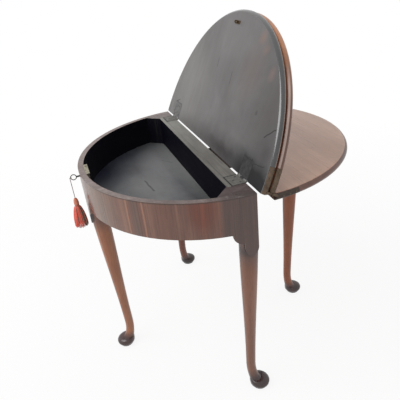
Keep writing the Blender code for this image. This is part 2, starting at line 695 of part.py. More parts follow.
def barrel_room(leaf, y, z, origin):
    """Notches that clear the lid hinges' barrels, whose axis meets the leaf at this y and z."""
    half = BUTT_WIDTH / 2 + FIT
    for side in (1, -1):
        x = side * BUTT_CENTRE
        room = rod("X", (y, z), BUTT_BARREL + RUN, x - half, x + half, ROUND_STEPS)
        shape(leaf, "DIFFERENCE", moved(room, origin))


def add_leaves(table):
    """Lid, middle and rear leaf, on axes turned to the open table."""
    lid_axis = axis_empty("lid_axis", (0.0, PIN_BACK, PIN_HEIGHT), table, (-LID_OPEN, 0.0, 0.0))
    lower_axis = axis_empty("lower_link_axis", (0.0, PIVOT_Y, LID_PIVOT), lid_axis)
    middle_axis = axis_empty("middle_axis", (0.0, 0.0, LINK_SPAN), lower_axis)
    upper_axis = axis_empty("upper_link_axis", (0.0, 0.0, MIDDLE_HIGH_PIVOT - MIDDLE_LOW_PIVOT), middle_axis,
                            (-LINK_TURN, 0.0, 0.0))
    rear_axis = axis_empty("rear_axis", (0.0, 0.0, LINK_SPAN), upper_axis, (-REAR_TURN, 0.0, 0.0))
    at_lid = (0.0, 0.0, 0.0)
    at_lower = (0.0, -PIVOT_Y, -LID_PIVOT)
    at_middle = (0.0, -PIVOT_Y, -MIDDLE_LOW_PIVOT)
    at_upper = (0.0, -PIVOT_Y, -MIDDLE_HIGH_PIVOT)
    at_rear = (0.0, -PIVOT_Y, -REAR_PIVOT)

    lid_pivots = [LID_PIVOT]
    middle_pivots = [MIDDLE_LOW_PIVOT, MIDDLE_HIGH_PIVOT]
    rear_pivots = [REAR_PIVOT]
    both = (True, True)
    top_only = (False, True)
    foot_only = (True, False)
    lid = add_leaf("lid_leaf", LID_FOOT, lid_pivots, top_only, at_lid, lid_axis, "lid_black")
    middle = add_leaf("middle_leaf", MIDDLE_FOOT, middle_pivots, both, at_middle, middle_axis,
                      "leaf_mahogany")
    rear = add_leaf("rear_leaf", REAR_FOOT, rear_pivots, foot_only, at_rear, rear_axis,
                    "leaf_mahogany")
    barrel_room(lid, 0.0, 0.0, at_lid)
    meeting = 2 * (LEAF_BACK + LEAF_GAP / 2)
    facing = 2 * (LID_FOOT + LEAF_THICK + LEAF_GAP / 2)
    barrel_room(middle, meeting, facing, at_middle)
    barrel_room(rear, meeting, facing, at_rear)
    for side, word in ((1, "right"), (-1, "left")):
        add_arm(word + "_lid_arm", side, LID_FOOT, lid_pivots, top_only, at_lid, lid_axis)
        add_arm(word + "_middle_arm", side, MIDDLE_FOOT, middle_pivots, both, at_middle, middle_axis)
        add_arm(word + "_rear_arm", side, REAR_FOOT, rear_pivots, foot_only, at_rear, rear_axis)
        add_link(word + "_lower_link", side, LID_PIVOT, at_lower, lower_axis)
        add_link(word + "_upper_link", side, MIDDLE_HIGH_PIVOT, at_upper, upper_axis)
    add_butts(table, lid_axis, lid)
    add_staple(lid_axis, lid)


# Lid hinges
def butt_plate(reach, tabs, low, high, x):
    """Hinge plate in plan, from its far edge to the barrel, with tabs at the knuckles that it carries."""
    near = -(BUTT_BARREL + RUN)
    half = BUTT_WIDTH / 2
    shapes = [block((x - half, -reach, low), (x + half, near, high))]
    for a, b in tabs:
        shapes.append(block((x + a, near - OVERLAP, low), (x + b, 0.0, high)))
    return shapes


def add_butt(word, x, table, lid_axis, lid):
    """One iron butt hinge: rail plate with two knuckles, lid plate with the middle one, and the pin."""
    half = BUTT_WIDTH / 2
    third = BUTT_WIDTH / 3
    outer = [(-half, -half + third - FIT / 2), (half - third + FIT / 2, half)]
    inner = [(-half + third + FIT / 2, half - third - FIT / 2)]
    hole = rod("X", (0.0, 0.0), BUTT_PIN + FIT, x - half - OVERLAP, x + half + OVERLAP)
    rail_axis = axis_empty(word + "_butt_axis", (0.0, PIN_BACK, PIN_HEIGHT), table)
    low = -LID_GAP / 2 - BUTT_THICK
    plates = ((word + "_butt_rail_plate", rail_axis, PIN_BACK + BUTT_RAIL_REACH, outer, low),
              (word + "_butt_lid_plate", lid_axis, BUTT_LID_REACH, inner, LID_FOOT))
    for name, parent, reach, tabs, foot in plates:
        shapes = butt_plate(reach, tabs, foot, foot + BUTT_THICK, x)
        plate = piece(name, shapes[0], "iron", parent)
        for tab in shapes[1:]:
            shape(plate, "UNION", tab)
        for a, b in tabs:
            shape(plate, "UNION", rod("X", (0.0, 0.0), BUTT_BARREL, x + a, x + b, ROUND_STEPS))
        shape(plate, "DIFFERENCE", hole.copy())
    hole.free()
    piece(word + "_butt_pin", rod("X", (0.0, 0.0), BUTT_PIN, x - half, x + half), "iron", rail_axis)
    shape(lid, "DIFFERENCE", block((x - half - FIT, -BUTT_LID_REACH - FIT, LID_FOOT - OVERLAP),
                                   (x + half + FIT, OVERLAP, LID_FOOT + BUTT_THICK + FIT)))


def add_butts(table, lid_axis, lid):
    """The two lid hinges."""
    for side, word in ((1, "right"), (-1, "left")):
        add_butt(word, side * BUTT_CENTRE, table, lid_axis, lid)


# Lock, staple and key
def add_staple(lid_axis, lid):
    """Staple on the lid's underside whose eye the bolt shoots through."""
    y = STAPLE_Y - PIN_BACK
    half_x = STAPLE_PLATE_LENGTH / 2
    half_y = STAPLE_PLATE_WIDTH / 2
    top = LID_FOOT + STAPLE_PLATE_THICK
    plate = block((STAPLE_X - half_x, y - half_y, LID_FOOT), (STAPLE_X + half_x, y + half_y, top))
    staple = piece("lid_staple", plate, "brass", lid_axis)
    loop = block((STAPLE_X - STAPLE_THICK / 2, y - STAPLE_WIDTH / 2, STAPLE_END),
                 (STAPLE_X + STAPLE_THICK / 2, y + STAPLE_WIDTH / 2, LID_FOOT + STAPLE_PLATE_THICK / 2))
    shape(staple, "UNION", loop)
    eye = block((STAPLE_X - STAPLE_THICK, y - STAPLE_EYE_WIDTH / 2, EYE_LOW),
                (STAPLE_X + STAPLE_THICK, y + STAPLE_EYE_WIDTH / 2, EYE_LOW + STAPLE_EYE))
    shape(staple, "DIFFERENCE", eye)
    recess = block((STAPLE_X - half_x - FIT, y - half_y - FIT, LID_FOOT - OVERLAP),
                   (STAPLE_X + half_x + FIT, y + half_y + FIT, top + FIT))
    shape(lid, "DIFFERENCE", recess)


def add_lock(table):
    """Lock plate with its selvedge, the cap over the works, and the bolt."""
    front = LOCK_SEAT + FIT
    top = FRAME_TOP
    side_view = [(front, top - LOCK_HEIGHT), (PLATE_BACK, top - LOCK_HEIGHT),
                 (PLATE_BACK, top - LOCK_PLATE), (SELVEDGE_END, top - LOCK_PLATE),
                 (SELVEDGE_END, top), (front, top)]
    plate = piece("lock_plate", prism("X", side_view, -LOCK_WIDTH / 2, LOCK_WIDTH / 2), "brass", table)
    shape(plate, "DIFFERENCE", keyhole(front - OVERLAP, PLATE_BACK + OVERLAP))
    half_x = STAPLE_THICK / 2 + RUN
    half_y = STAPLE_WIDTH / 2 + RUN
    shape(plate, "DIFFERENCE", block((STAPLE_X - half_x, STAPLE_Y - half_y, top - LOCK_PLATE - OVERLAP / 2),
                                     (STAPLE_X + half_x, STAPLE_Y + half_y, top + OVERLAP)))

    inside = BOLT_Y + BOLT_THICK / 2 + FIT
    cap_front = PLATE_BACK + FIT
    cap_top = top - LOCK_PLATE - FIT
    cap_foot = cap_top - CAP_HEIGHT
    cover = block((CAP_LEFT, cap_front, cap_foot), (CAP_RIGHT, inside + CAP_WALL, cap_top))
    cap = piece("lock_cap", cover, "brass", table)
    shape(cap, "DIFFERENCE", block((CAP_LEFT + CAP_WALL, cap_front - OVERLAP, cap_foot + CAP_WALL),
                                   (CAP_RIGHT - CAP_WALL, inside, cap_top + OVERLAP)))
    bolt_way = BOLT_HEIGHT_Z - BOLT_HEIGHT / 2 - RUN
    shape(cap, "DIFFERENCE", block((CAP_LEFT - OVERLAP, cap_front - OVERLAP, bolt_way),
                                   (CAP_LEFT + CAP_WALL + OVERLAP, inside, cap_top + OVERLAP)))

    tip = STAPLE_X + STAPLE_THICK / 2 + BOLT_REST
    bolt_axis = axis_empty("bolt_axis", (tip, BOLT_Y, BOLT_HEIGHT_Z), table)
    bolt = block((0.0, -BOLT_THICK / 2, -BOLT_HEIGHT / 2), (BOLT_LENGTH, BOLT_THICK / 2, BOLT_HEIGHT / 2))
    piece("lock_bolt", bolt, "steel", bolt_axis)


def add_key(table):
    """Key with a ring bow, turning about the lock's centre line."""
    axis = axis_empty("key_axis", (0.0, BOW_Y, KEY_HEIGHT), table)
    wire = ring_of(BOW_WIRE, WIRE_STEPS, (0.0, BOW_RADIUS))
    bow = [[(x, r * c, r * s) for x, r in wire] for c, s in ring_of(1.0, ROUND_STEPS)]
    key = piece("key", loft(bow, closed=True), "steel", axis)
    end = BOLT_Y + BOLT_THICK / 2 - BOW_Y
    shape(key, "UNION", rod("Y", (0.0, 0.0), KEY_SHAFT, BOW_RADIUS, end))
    bit = block((-BIT_THICK / 2, end - BIT_LENGTH, -BIT_REACH), (BIT_THICK / 2, end - FIT, -KEY_SHAFT / 2))
    shape(key, "UNION", bit)


# Tassel
def add_tassel(table):
    """Cord, head and skirt that hang from the front of the key's bow."""
    y = BOW_FRONT - FIT - CORD_DIAMETER / 2
    axis = axis_empty("tassel_axis", (0.0, y, KEY_HEIGHT), table)
    head_top = -CORD_LENGTH
    curve = bpy.data.curves.new("tassel_cord", "CURVE")
    curve.dimensions = "3D"
    curve.bevel_depth = CORD_DIAMETER / 2
    curve.bevel_resolution = 2
    curve.use_fill_caps = True
    line = curve.splines.new("POLY")
    line.points.add(CORD_STEPS)
    for i, point in enumerate(line.points):
        point.co = (0.0, 0.0, (head_top + FIT) * i / CORD_STEPS, 1.0)
    cord = bpy.data.objects.new("tassel_cord", curve)
    bpy.context.scene.collection.objects.link(cord)
    cord.parent = axis
    curve.materials.append(finish("cord_silk"))

    head = []
    skirt = []
    skirt_top = head_top - HEAD_HEIGHT - FIT
    for i in range(PROFILE_STEPS + 1):
        along = i / PROFILE_STEPS
        straight = HEAD_TOP_RADIUS + (SKIRT_TOP_RADIUS - HEAD_TOP_RADIUS) * along
        swell = HEAD_RADIUS - (HEAD_TOP_RADIUS + SKIRT_TOP_RADIUS) / 2
        radius = straight + swell * math.sin(math.pi * along) ** HEAD_FULLNESS
        head.append((radius, head_top - HEAD_HEIGHT * along))
        spread = math.sin(math.pi / 2 * along) ** SKIRT_FLARE
        radius = SKIRT_TOP_RADIUS + (SKIRT_RADIUS - SKIRT_TOP_RADIUS) * spread
        skirt.append((radius, skirt_top - SKIRT_HEIGHT * along))
    piece("tassel_head", turned(head), "tassel_silk", axis)
    piece("tassel_skirt", turned(skirt), "tassel_silk", axis)


def turned(profile):
    """A solid turned about the local Z axis from (radius, height) points."""
    return loft([[(x, y, z) for x, y in ring_of(radius, SMALL_STEPS)] for radius, z in profile])


def main():
    """Clears the scene and builds the table."""
    for old in list(bpy.data.objects):
        bpy.data.objects.remove(old, do_unlink=True)
    table = axis_empty("table", (0.0, SHIFT_Y, 0.0))
    add_frieze(table)
    add_well(table)
    add_legs(table)
    add_gate(table)
    add_leaves(table)
    add_lock(table)
    add_key(table)
    add_tassel(table)


main()
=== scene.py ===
"""Looks of a half-round card table: polished mahogany, a black-stained well, dull brass, old iron and silk.

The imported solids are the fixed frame. Wooden and metal nodes are shown as merged, smoothly shaded copies
whose faces are sorted among finishes. The cord, the tassel, the screw heads and the knot on the key are
surfaces worked out here. Everything is in metres, with +Z up and the bowed front along -Y.
"""

import logging
import math
from collections.abc import Callable, Sequence
from dataclasses import dataclass, field
from enum import Enum

import bpy
import numpy as np
from mathutils import Matrix, Vector


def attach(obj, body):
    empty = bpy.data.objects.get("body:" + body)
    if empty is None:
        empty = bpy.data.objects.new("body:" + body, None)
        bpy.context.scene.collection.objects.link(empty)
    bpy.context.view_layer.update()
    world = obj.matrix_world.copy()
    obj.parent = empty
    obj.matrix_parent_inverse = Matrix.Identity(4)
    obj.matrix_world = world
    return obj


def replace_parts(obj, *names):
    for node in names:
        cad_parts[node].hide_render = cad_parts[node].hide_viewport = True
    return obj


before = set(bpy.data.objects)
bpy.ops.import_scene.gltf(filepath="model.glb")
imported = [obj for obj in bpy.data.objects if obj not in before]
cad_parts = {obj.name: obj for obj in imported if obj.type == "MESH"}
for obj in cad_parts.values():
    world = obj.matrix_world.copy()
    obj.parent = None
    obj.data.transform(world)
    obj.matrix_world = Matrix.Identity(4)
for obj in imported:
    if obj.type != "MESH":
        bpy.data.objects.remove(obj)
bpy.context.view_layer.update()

log = logging.getLogger("card_table")
Pair = tuple[float, float]
Triple = tuple[float, float, float]
Colour = Triple
Socket = bpy.types.NodeSocket
Piece = bpy.types.Object
FaceRule = Callable[[np.ndarray, np.ndarray], np.ndarray]

FULL_TURN = 2 * math.pi
NO_TURN = (0.0, 0.0, 0.0)
UNSCALED = (1.0, 1.0, 1.0)
WHITE = (1.0, 1.0, 1.0)
UP = (0.0, 0.0, 1.0)
LID_OPEN = math.radians(114.4)
OPEN_COS, OPEN_SIN = math.cos(LID_OPEN), math.sin(LID_OPEN)
LID_UNDER = np.array([0.0, -OPEN_SIN, -OPEN_COS])
LID_PIN = (0.0, -0.0111923, 0.67425)
FRAME_CENTRE_Y = -0.0143923
FRAME_RADIUS = 0.369
FRAME_TOP = 0.674
RAIL_DEPTH = 0.0352
LEAF_RADIUS = 0.384
LEAF_THICK = 0.018
LEAF_BACK = -0.002
LEAF_GAP = 0.0012
LEAF_FOOT = LID_PIN[2] - FRAME_TOP
NO_LENGTH = 1e-12
HINGE_CENTRE = 0.280
HINGE_WIDTH = 0.050
HINGE_RAIL_REACH = 0.0362
HINGE_LID_REACH = 0.052
# The lid pin in coordinates that are turned by LID_OPEN about X, in which the upright leaves lie level.
LEVEL_PIN = (0.0, LID_PIN[1] * OPEN_COS - LID_PIN[2] * OPEN_SIN,
             LID_PIN[1] * OPEN_SIN + LID_PIN[2] * OPEN_COS)


class Grain(Enum):
    """Which way the wood's fibres run on a piece."""

    ALONG_X = "along the table's width"
    ALONG_Y = "front to back"
    ALONG_Z = "upright"
    ROUND_FRAME = "upright on veneer bent round the frame"


@dataclass(frozen=True)
class Pattern:
    """Noise with about one feature in 1/scale metres; a small stretch draws it out along the first axis."""

    scale: float
    stretch: float = 1.0
    detail: float = 3.0
    rough: float = 0.5
    bend: float = 0.0


@dataclass(frozen=True)
class Patch:
    """A soft-edged patch of another colour, given in two coordinates of a surface."""

    centre: Pair
    reach: Pair
    colour: Colour
    share: float
    edge: float = 0.3
    dull: float = 0.0


@dataclass(frozen=True)
class Mark:
    """A thin crack or scratch from one point of a surface to another."""

    start: Pair
    end: Pair
    width: float
    share: float
    core: float = 0.35


def shaded(colour: Colour, factor: float) -> Colour:
    """A colour made lighter or darker by a factor."""
    return (colour[0] * factor, colour[1] * factor, colour[2] * factor)


class Graph:
    """Node tree of a material or a world, made in small steps that each return an output socket."""

    SPREAD = (0.3, 0.7)
    NOISE_MIDDLE = (0.5, 0.5, 0.5)
    FLATTENED = (1.0, 1.0, 0.0)

    def __init__(self, owner: bpy.types.Material | bpy.types.World) -> None:
        """Opens the owner's node tree.

        Args:
            owner: The material or world that the nodes belong to.
        """
        owner.use_nodes = True
        self.owner = owner
        self.tree = owner.node_tree

    @classmethod
    def named(cls, name: str) -> "Graph":
        """The nodes of a new material with one Principled shader."""
        return cls(bpy.data.materials.new(name))

    def feed(self, node: bpy.types.Node, key: str | int, value: object) -> None:
        """Links a socket into a node's input, or sets the input to a plain value.

        Args:
            node: The node.
            key: The input's name or number.
            value: A socket, a number, a vector, or a colour without its alpha.
        """
        wanted = node.inputs[key]
        if isinstance(value, Socket):
            self.tree.links.new(value, wanted)
        elif wanted.type == "RGBA" and isinstance(value, tuple) and len(value) == 3:
            wanted.default_value = (*value, 1.0)
        else:
            wanted.default_value = value

    def node(self, kind: str, inputs: dict[str | int, object], output: str | int = 0,
             **settings: object) -> Socket:
        """Adds one node.

        Args:
            kind: The node's type, without the words that all types start with.
            inputs: What goes into the node, by the inputs' names or numbers.
            output: The wanted output's name or number.
            settings: Properties of the node, such as its operation.

        Returns:
            The wanted output.
        """
        made = self.tree.nodes.new("ShaderNode" + kind)
        for key, value in settings.items():
            setattr(made, key, value)
        for key, value in inputs.items():
            self.feed(made, key, value)
        return made.outputs[output]

    def place(self, turn: Triple = NO_TURN, scale: Triple = UNSCALED) -> Socket:
        """Object coordinates, turned by Euler angles and then stretched along the turned axes."""
        turned = self.node("Mapping", {"Vector": self.node("TexCoord", {}, "Object"), "Rotation": turn})
        return self.node("Mapping", {"Vector": turned, "Scale": scale})

    def drawn_out(self, vector: Socket, pattern: Pattern) -> Socket:
        """A vector stretched along its first axis as a pattern asks."""
        return self.node("Mapping", {"Vector": vector, "Scale": (pattern.stretch, 1.0, 1.0)})

    def round_frame(self, centre_y: float, radius: float) -> Socket:
        """Coordinates on the bent veneer: height, distance round the bow, distance from its axis.

        Args:
            centre_y: The bow's axis along Y.
            radius: The radius at which distance round the bow is measured.

        Returns:
            The vector (height, angle times radius, radial distance).
        """
        here = self.node("TexCoord", {}, "Object")
        x, y, z = (self.part(here, axis) for axis in "XYZ")
        depth = self.math("SUBTRACT", centre_y, y)
        across = self.math("MULTIPLY", self.math("ARCTAN2", x, depth), radius)
        squares = self.math("ADD", self.math("MULTIPLY", depth, depth), self.math("MULTIPLY", x, x))
        return self.node("CombineXYZ", {0: z, 1: across, 2: self.math("SQRT", squares)})

    def part(self, vector: Socket, axis: str) -> Socket:
        """One component of a vector."""
        return self.node("SeparateXYZ", {0: vector}, axis)

    def noise(self, vector: Socket, pattern: Pattern) -> Socket:
        """Cloudy value between 0 and 1, over coordinates in metres."""
        return self.node("TexNoise", {"Vector": self.drawn_out(vector, pattern), "Scale": pattern.scale,
                                      "Detail": pattern.detail, "Roughness": pattern.rough,
                                      "Distortion": pattern.bend}, "Fac")

    def cells(self, vector: Socket, pattern: Pattern) -> Socket:
        """Distance to the nearest border between cells of a pattern's size, for cracks."""
        return self.node("TexVoronoi", {"Vector": self.drawn_out(vector, pattern), "Scale": pattern.scale},
                         "Distance", feature="DISTANCE_TO_EDGE")

    def math(self, operation: str, a: object, b: object = 0.0) -> Socket:
        """One arithmetic step on one or two numbers."""
        return self.node("Math", {0: a, 1: b}, operation=operation)

    def weighted(self, a: Socket, b: Socket, share: float) -> Socket:
        """The sum of two values, of which the second has the given share."""
        return self.math("ADD", self.math("MULTIPLY", a, 1 - share), self.math("MULTIPLY", b, share))

    def gap(self, value: Socket, at: float) -> Socket:
        """Distance of a value from a fixed place."""
        return self.math("ABSOLUTE", self.math("SUBTRACT", value, at))

    def fit(self, value: Socket, low: float, high: float, start: float = 0.0, end: float = 1.0) -> Socket:
        """Carries the span low to high onto start to end, held at both ends."""
        return self.node("MapRange", {"Value": value, "From Min": low, "From Max": high,
                                      "To Min": start, "To Max": end})

    def uneven(self, value: Socket, middle: float, less: float, more: float) -> Socket:
        """A roughness that runs from less below its middle to more above it as a pattern rises."""
        return self.fit(value, *self.SPREAD, middle - less, middle + more)

    def ramp(self, value: Socket, stops: Sequence[tuple[float, Colour]]) -> Socket:
        """A colour band over a value.

        Args:
            value: The number that picks the colour.
            stops: Places on the band with their colours.

        Returns:
            The colour.
        """
        colour = self.node("ValToRGB", {"Fac": value}, "Color")
        band = colour.node.color_ramp.elements
        for _ in stops[2:]:
            band.new(0.5)
        for element, (at, tone) in zip(band, stops):
            element.position = at
            element.color = (*tone, 1.0)
        return colour

    def tones(self, value: Socket, colour: Colour, steps: Sequence[Pair]) -> Socket:
        """Darker and lighter tones of one colour over a value; a step is a place and a factor."""
        return self.ramp(value, [(at, shaded(colour, factor)) for at, factor in steps])

    def mix(self, share: object, a: object, b: object) -> Socket:
        """Two colours blended by a share."""
        return self.node("Mix", {0: share, 6: a, 7: b}, 2, data_type="RGBA")

    def vector(self, operation: str, a: object, b: object = NO_TURN, output: str = "Vector") -> Socket:
        """One step of vector arithmetic; the second term is a vector, or the factor of a scaling."""
        second = {"SCALE": {"Scale": b}, "LENGTH": {}}.get(operation, {1: b})
        return self.node("VectorMath", {0: a, **second}, output, operation=operation)

    def waver(self, vector: Socket, scale: float, reach: float) -> Socket:
        """A vector that wanders, so that drawn marks look handmade.

        Args:
            vector: The steady vector.
            scale: Turns in a metre, about.
            reach: Twice the furthest that it wanders.

        Returns:
            The wandering vector.
        """
        drift = self.node("TexNoise", {"Vector": vector, "Scale": scale}, "Color")
        shift = self.vector("SUBTRACT", drift, self.NOISE_MIDDLE)
        return self.vector("ADD", vector, self.vector("SCALE", shift, reach))

    def offset(self, vector: Socket, start: Pair) -> Socket:
        """The way from a point to here in a vector's first two components."""
        return self.vector("SUBTRACT", self.vector("MULTIPLY", vector, self.FLATTENED), (*start, 0.0))

    def patch(self, vector: Socket, patch: Patch) -> Socket:
        """Share of a rounded patch at each point.

        The vector's offset from the middle is divided by the reach along each axis; its length is 0 in the
        middle and 1 on the border.

        Args:
            vector: Coordinates whose first two components the patch is given in.
            patch: Where the patch lies and how strong it is.

        Returns:
            The share, from the patch's own inside to 0 on its border.
        """
        scaled = self.vector("MULTIPLY", self.offset(vector, patch.centre),
                             (1 / patch.reach[0], 1 / patch.reach[1], 0.0))
        away = self.vector("LENGTH", scaled, output="Value")
        return self.fit(away, patch.edge, 1.0, patch.share, 0.0)

    def mark(self, vector: Socket, mark: Mark) -> Socket:
        """Share of a drawn line at each point.

        The nearest point of the line has the parameter t = offset . way / |way|^2, held between 0 and 1, and
        the distance to it is compared with the line's width.

        Args:
            vector: Coordinates whose first two components the line is given in.
            mark: Where the line runs, its width and its strength.

        Returns:
            The share, strongest on the line.
        """
        way = (mark.end[0] - mark.start[0], mark.end[1] - mark.start[1])
        square = way[0] ** 2 + way[1] ** 2
        offset = self.offset(vector, mark.start)
        along = self.vector("DOT_PRODUCT", offset, (way[0] / square, way[1] / square, 0.0), output="Value")
        direction = self.node("CombineXYZ", {0: way[0], 1: way[1]})
        foot = self.vector("SCALE", direction, self.fit(along, 0.0, 1.0))
        away = self.vector("DISTANCE", offset, foot, output="Value")
        return self.fit(away, mark.width * mark.core, mark.width, mark.share, 0.0)

    def bump(self, height: Socket, strength: float, distance: float) -> Socket:
        """Normal of a relief whose pattern is the given distance high, shown at a strength."""
        return self.node("Bump", {"Height": height, "Strength": strength, "Distance": distance}, "Normal")

    def seen_directly(self) -> Socket:
        """1 for camera, glossy and transmission rays, which show a surface itself, and 0 for others."""
        rays = [self.node("LightPath", {}, f"Is {kind} Ray") for kind in ("Camera", "Glossy", "Transmission")]
        return self.math("MAXIMUM", self.math("MAXIMUM", rays[0], rays[1]), rays[2])

    def done(self, **inputs: object) -> bpy.types.Material:
        """Feeds the Principled shader and gives the material.

        Args:
            inputs: The shader's inputs, named with underscores for spaces.

        Returns:
            The material.
        """
        for key, value in inputs.items():
            self.feed(self.tree.nodes["Principled BSDF"], key.replace("_", " "), value)
        return self.owner


# Numbers of the finishes, in the order wood, black stain, oak, metal, silk. SPAN: low and high of Graph.fit.
# SHARE and DULLING: all four numbers of Graph.fit, or one strength. SHADE: a factor on a colour.
# TONES: places on a ramp, each with such a factor. WAVER, UNEVEN and RELIEF: the last two numbers of
# Graph.waver, uneven and bump. FIGURE and GRAIN: what follows the scale, or the stretch, in a Pattern whose
# scale the finish gives.
FIGURE = (0.07, 4.0, 0.55, 0.8)
FIBRE = Pattern(260.0, 0.015, 3.0, 0.6)
PORES = Pattern(900.0, 0.05, 1.0)
WOOD_CLOUD = Pattern(7.0, detail=2.0)
SCUFFS = Pattern(55.0, 0.35, 4.0, 0.62, 0.6)
WOOD_STOPS = (0.30, 0.50, 0.70)
CLOUD_SHARE = (0.40, 0.66, 0.0, 0.35)
PORE_SPAN = (0.60, 0.74)
PORE_SHARE, PORE_SHADE, PORE_DEPTH = 0.55, 0.45, 0.6
FIBRE_HEIGHT = 0.4
PATCH_WAVER = (14.0, 0.006)
PATCH_TONES = ((0.28, 0.62), (0.72, 1.4))
FOOT_TONES = ((0.30, 0.40), (0.70, 1.60))
FOOT_FULL, FOOT_SHARE = 0.5, 0.95
FOOT_SMOOTH, FOOT_ROUGHNESS = 0.6, 0.55
STAIN_WANDER = 0.0008
STAIN_DULLING = (0.0030, 0.0050, 0.7, 2.2)
# The pale strip along a leaf's edge: on the middle leaf a painted highlight.
PALE_STRIP_CORE, PALE_STRIP_SHARE, PALE_STRIP_FADE = 0.45, 0.80, 0.05
PALE_STRIP_CLOUD_SHARE = (0.30, 0.55, 0.5, 1.0)
SCUFF_SPAN = (0.52, 0.70)
RIM_LINE_SHARE, RIM_LINE_SHADE = (0.0006, 0.0020, 0.75, 0.0), 0.25
WOOD_UNEVEN = (0.05, 0.09)
WOOD_RELIEF = (0.12, 0.0006)
STAIN_CLOUD = Pattern(6.5, 1.0, 4.0, 0.55, 0.4)
STAIN_STREAKS = Pattern(46.0, 0.16, 5.0, 0.62, 0.5)
STAIN_GRIT = Pattern(420.0, 1.0, 2.0, 0.6)
CRACK_CELLS = Pattern(17.0, 0.22)
CRACK_PLACES = Pattern(10.0, detail=2.0)
CRACK_SPAN, CRACK_WIDTH, CRACK_SHADE = (0.60, 0.68), 0.022, 0.15
BLOOM_SPAN = (0.34, 0.68)
RUB_SPAN = (0.54, 0.74)
GRIT_SHARE, GRIT_SHADE = (0.60, 0.80, 0.0, 0.30), 1.5
BLUR_WAVER = (30.0, 0.020)
MARK_WAVER = (60.0, 0.006)
STREAK_HEIGHT = 0.4
STAIN_UNEVEN = (0.05, 0.08)
STAIN_RELIEF = (0.16, 0.0008)
OAK_STREAKS = Pattern(190.0, 0.05, 4.0, 0.65, 0.3)
OAK_CLOUD, OAK_CLOUD_SHARE = Pattern(13.0), 0.35
OAK_STOPS = (0.34, 0.64)
OAK_PATCH_TONES = ((0.34, 0.7), (0.64, 1.3))
JOINT_SHARE, JOINT_SHADE = (0.0004, 0.0012, 0.40, 0.0), 0.2
OAK_MARK_SHADE = 0.08
OAK_UNEVEN = (0.06, 0.12)
OAK_RELIEF = (0.22, 0.0006)
TARNISH_GRAIN, SPECK_GRAIN, SPECK_RATIO = (4.0, 0.6), (2.0, 0.6), 9.0
TARNISH_SPAN, TARNISH_LEAST = (0.36, 0.66), 0.1
SPECK_SHARE, SPECK_SHADE = (0.60, 0.72, 0.0, 0.5), 0.5
METAL_UNEVEN = (0.06, 0.16)
METAL_RELIEF = (0.15, 0.0003)
FUZZ, FUZZ_STRETCH = Pattern(1800.0, 1.0, 2.0, 0.6), (1.0, 1.0, 0.25)
FUZZ_SHARE, FUZZ_SHADE = (0.35, 0.70, 0.0, 0.55), 0.35
THREAD_SPAN = (0.45, 0.55)
SILK_RELIEF = (0.35, 0.0003)


@dataclass
class WoodLayers:
    """What a mahogany finish has built so far: its patterns, its colour and its roughness."""

    g: Graph
    here: Socket
    mixed: Socket
    cloud: Socket
    colour: Socket
    rough: Socket

    def tint(self, share: Socket, colour: Socket | Colour) -> None:
        """Lays another colour over the wood."""
        self.colour = self.g.mix(share, self.colour, colour)

    def dull(self, factor: Socket) -> None:
        """Makes the wood rougher or smoother by a factor."""
        self.rough = self.g.math("MULTIPLY", self.rough, factor)


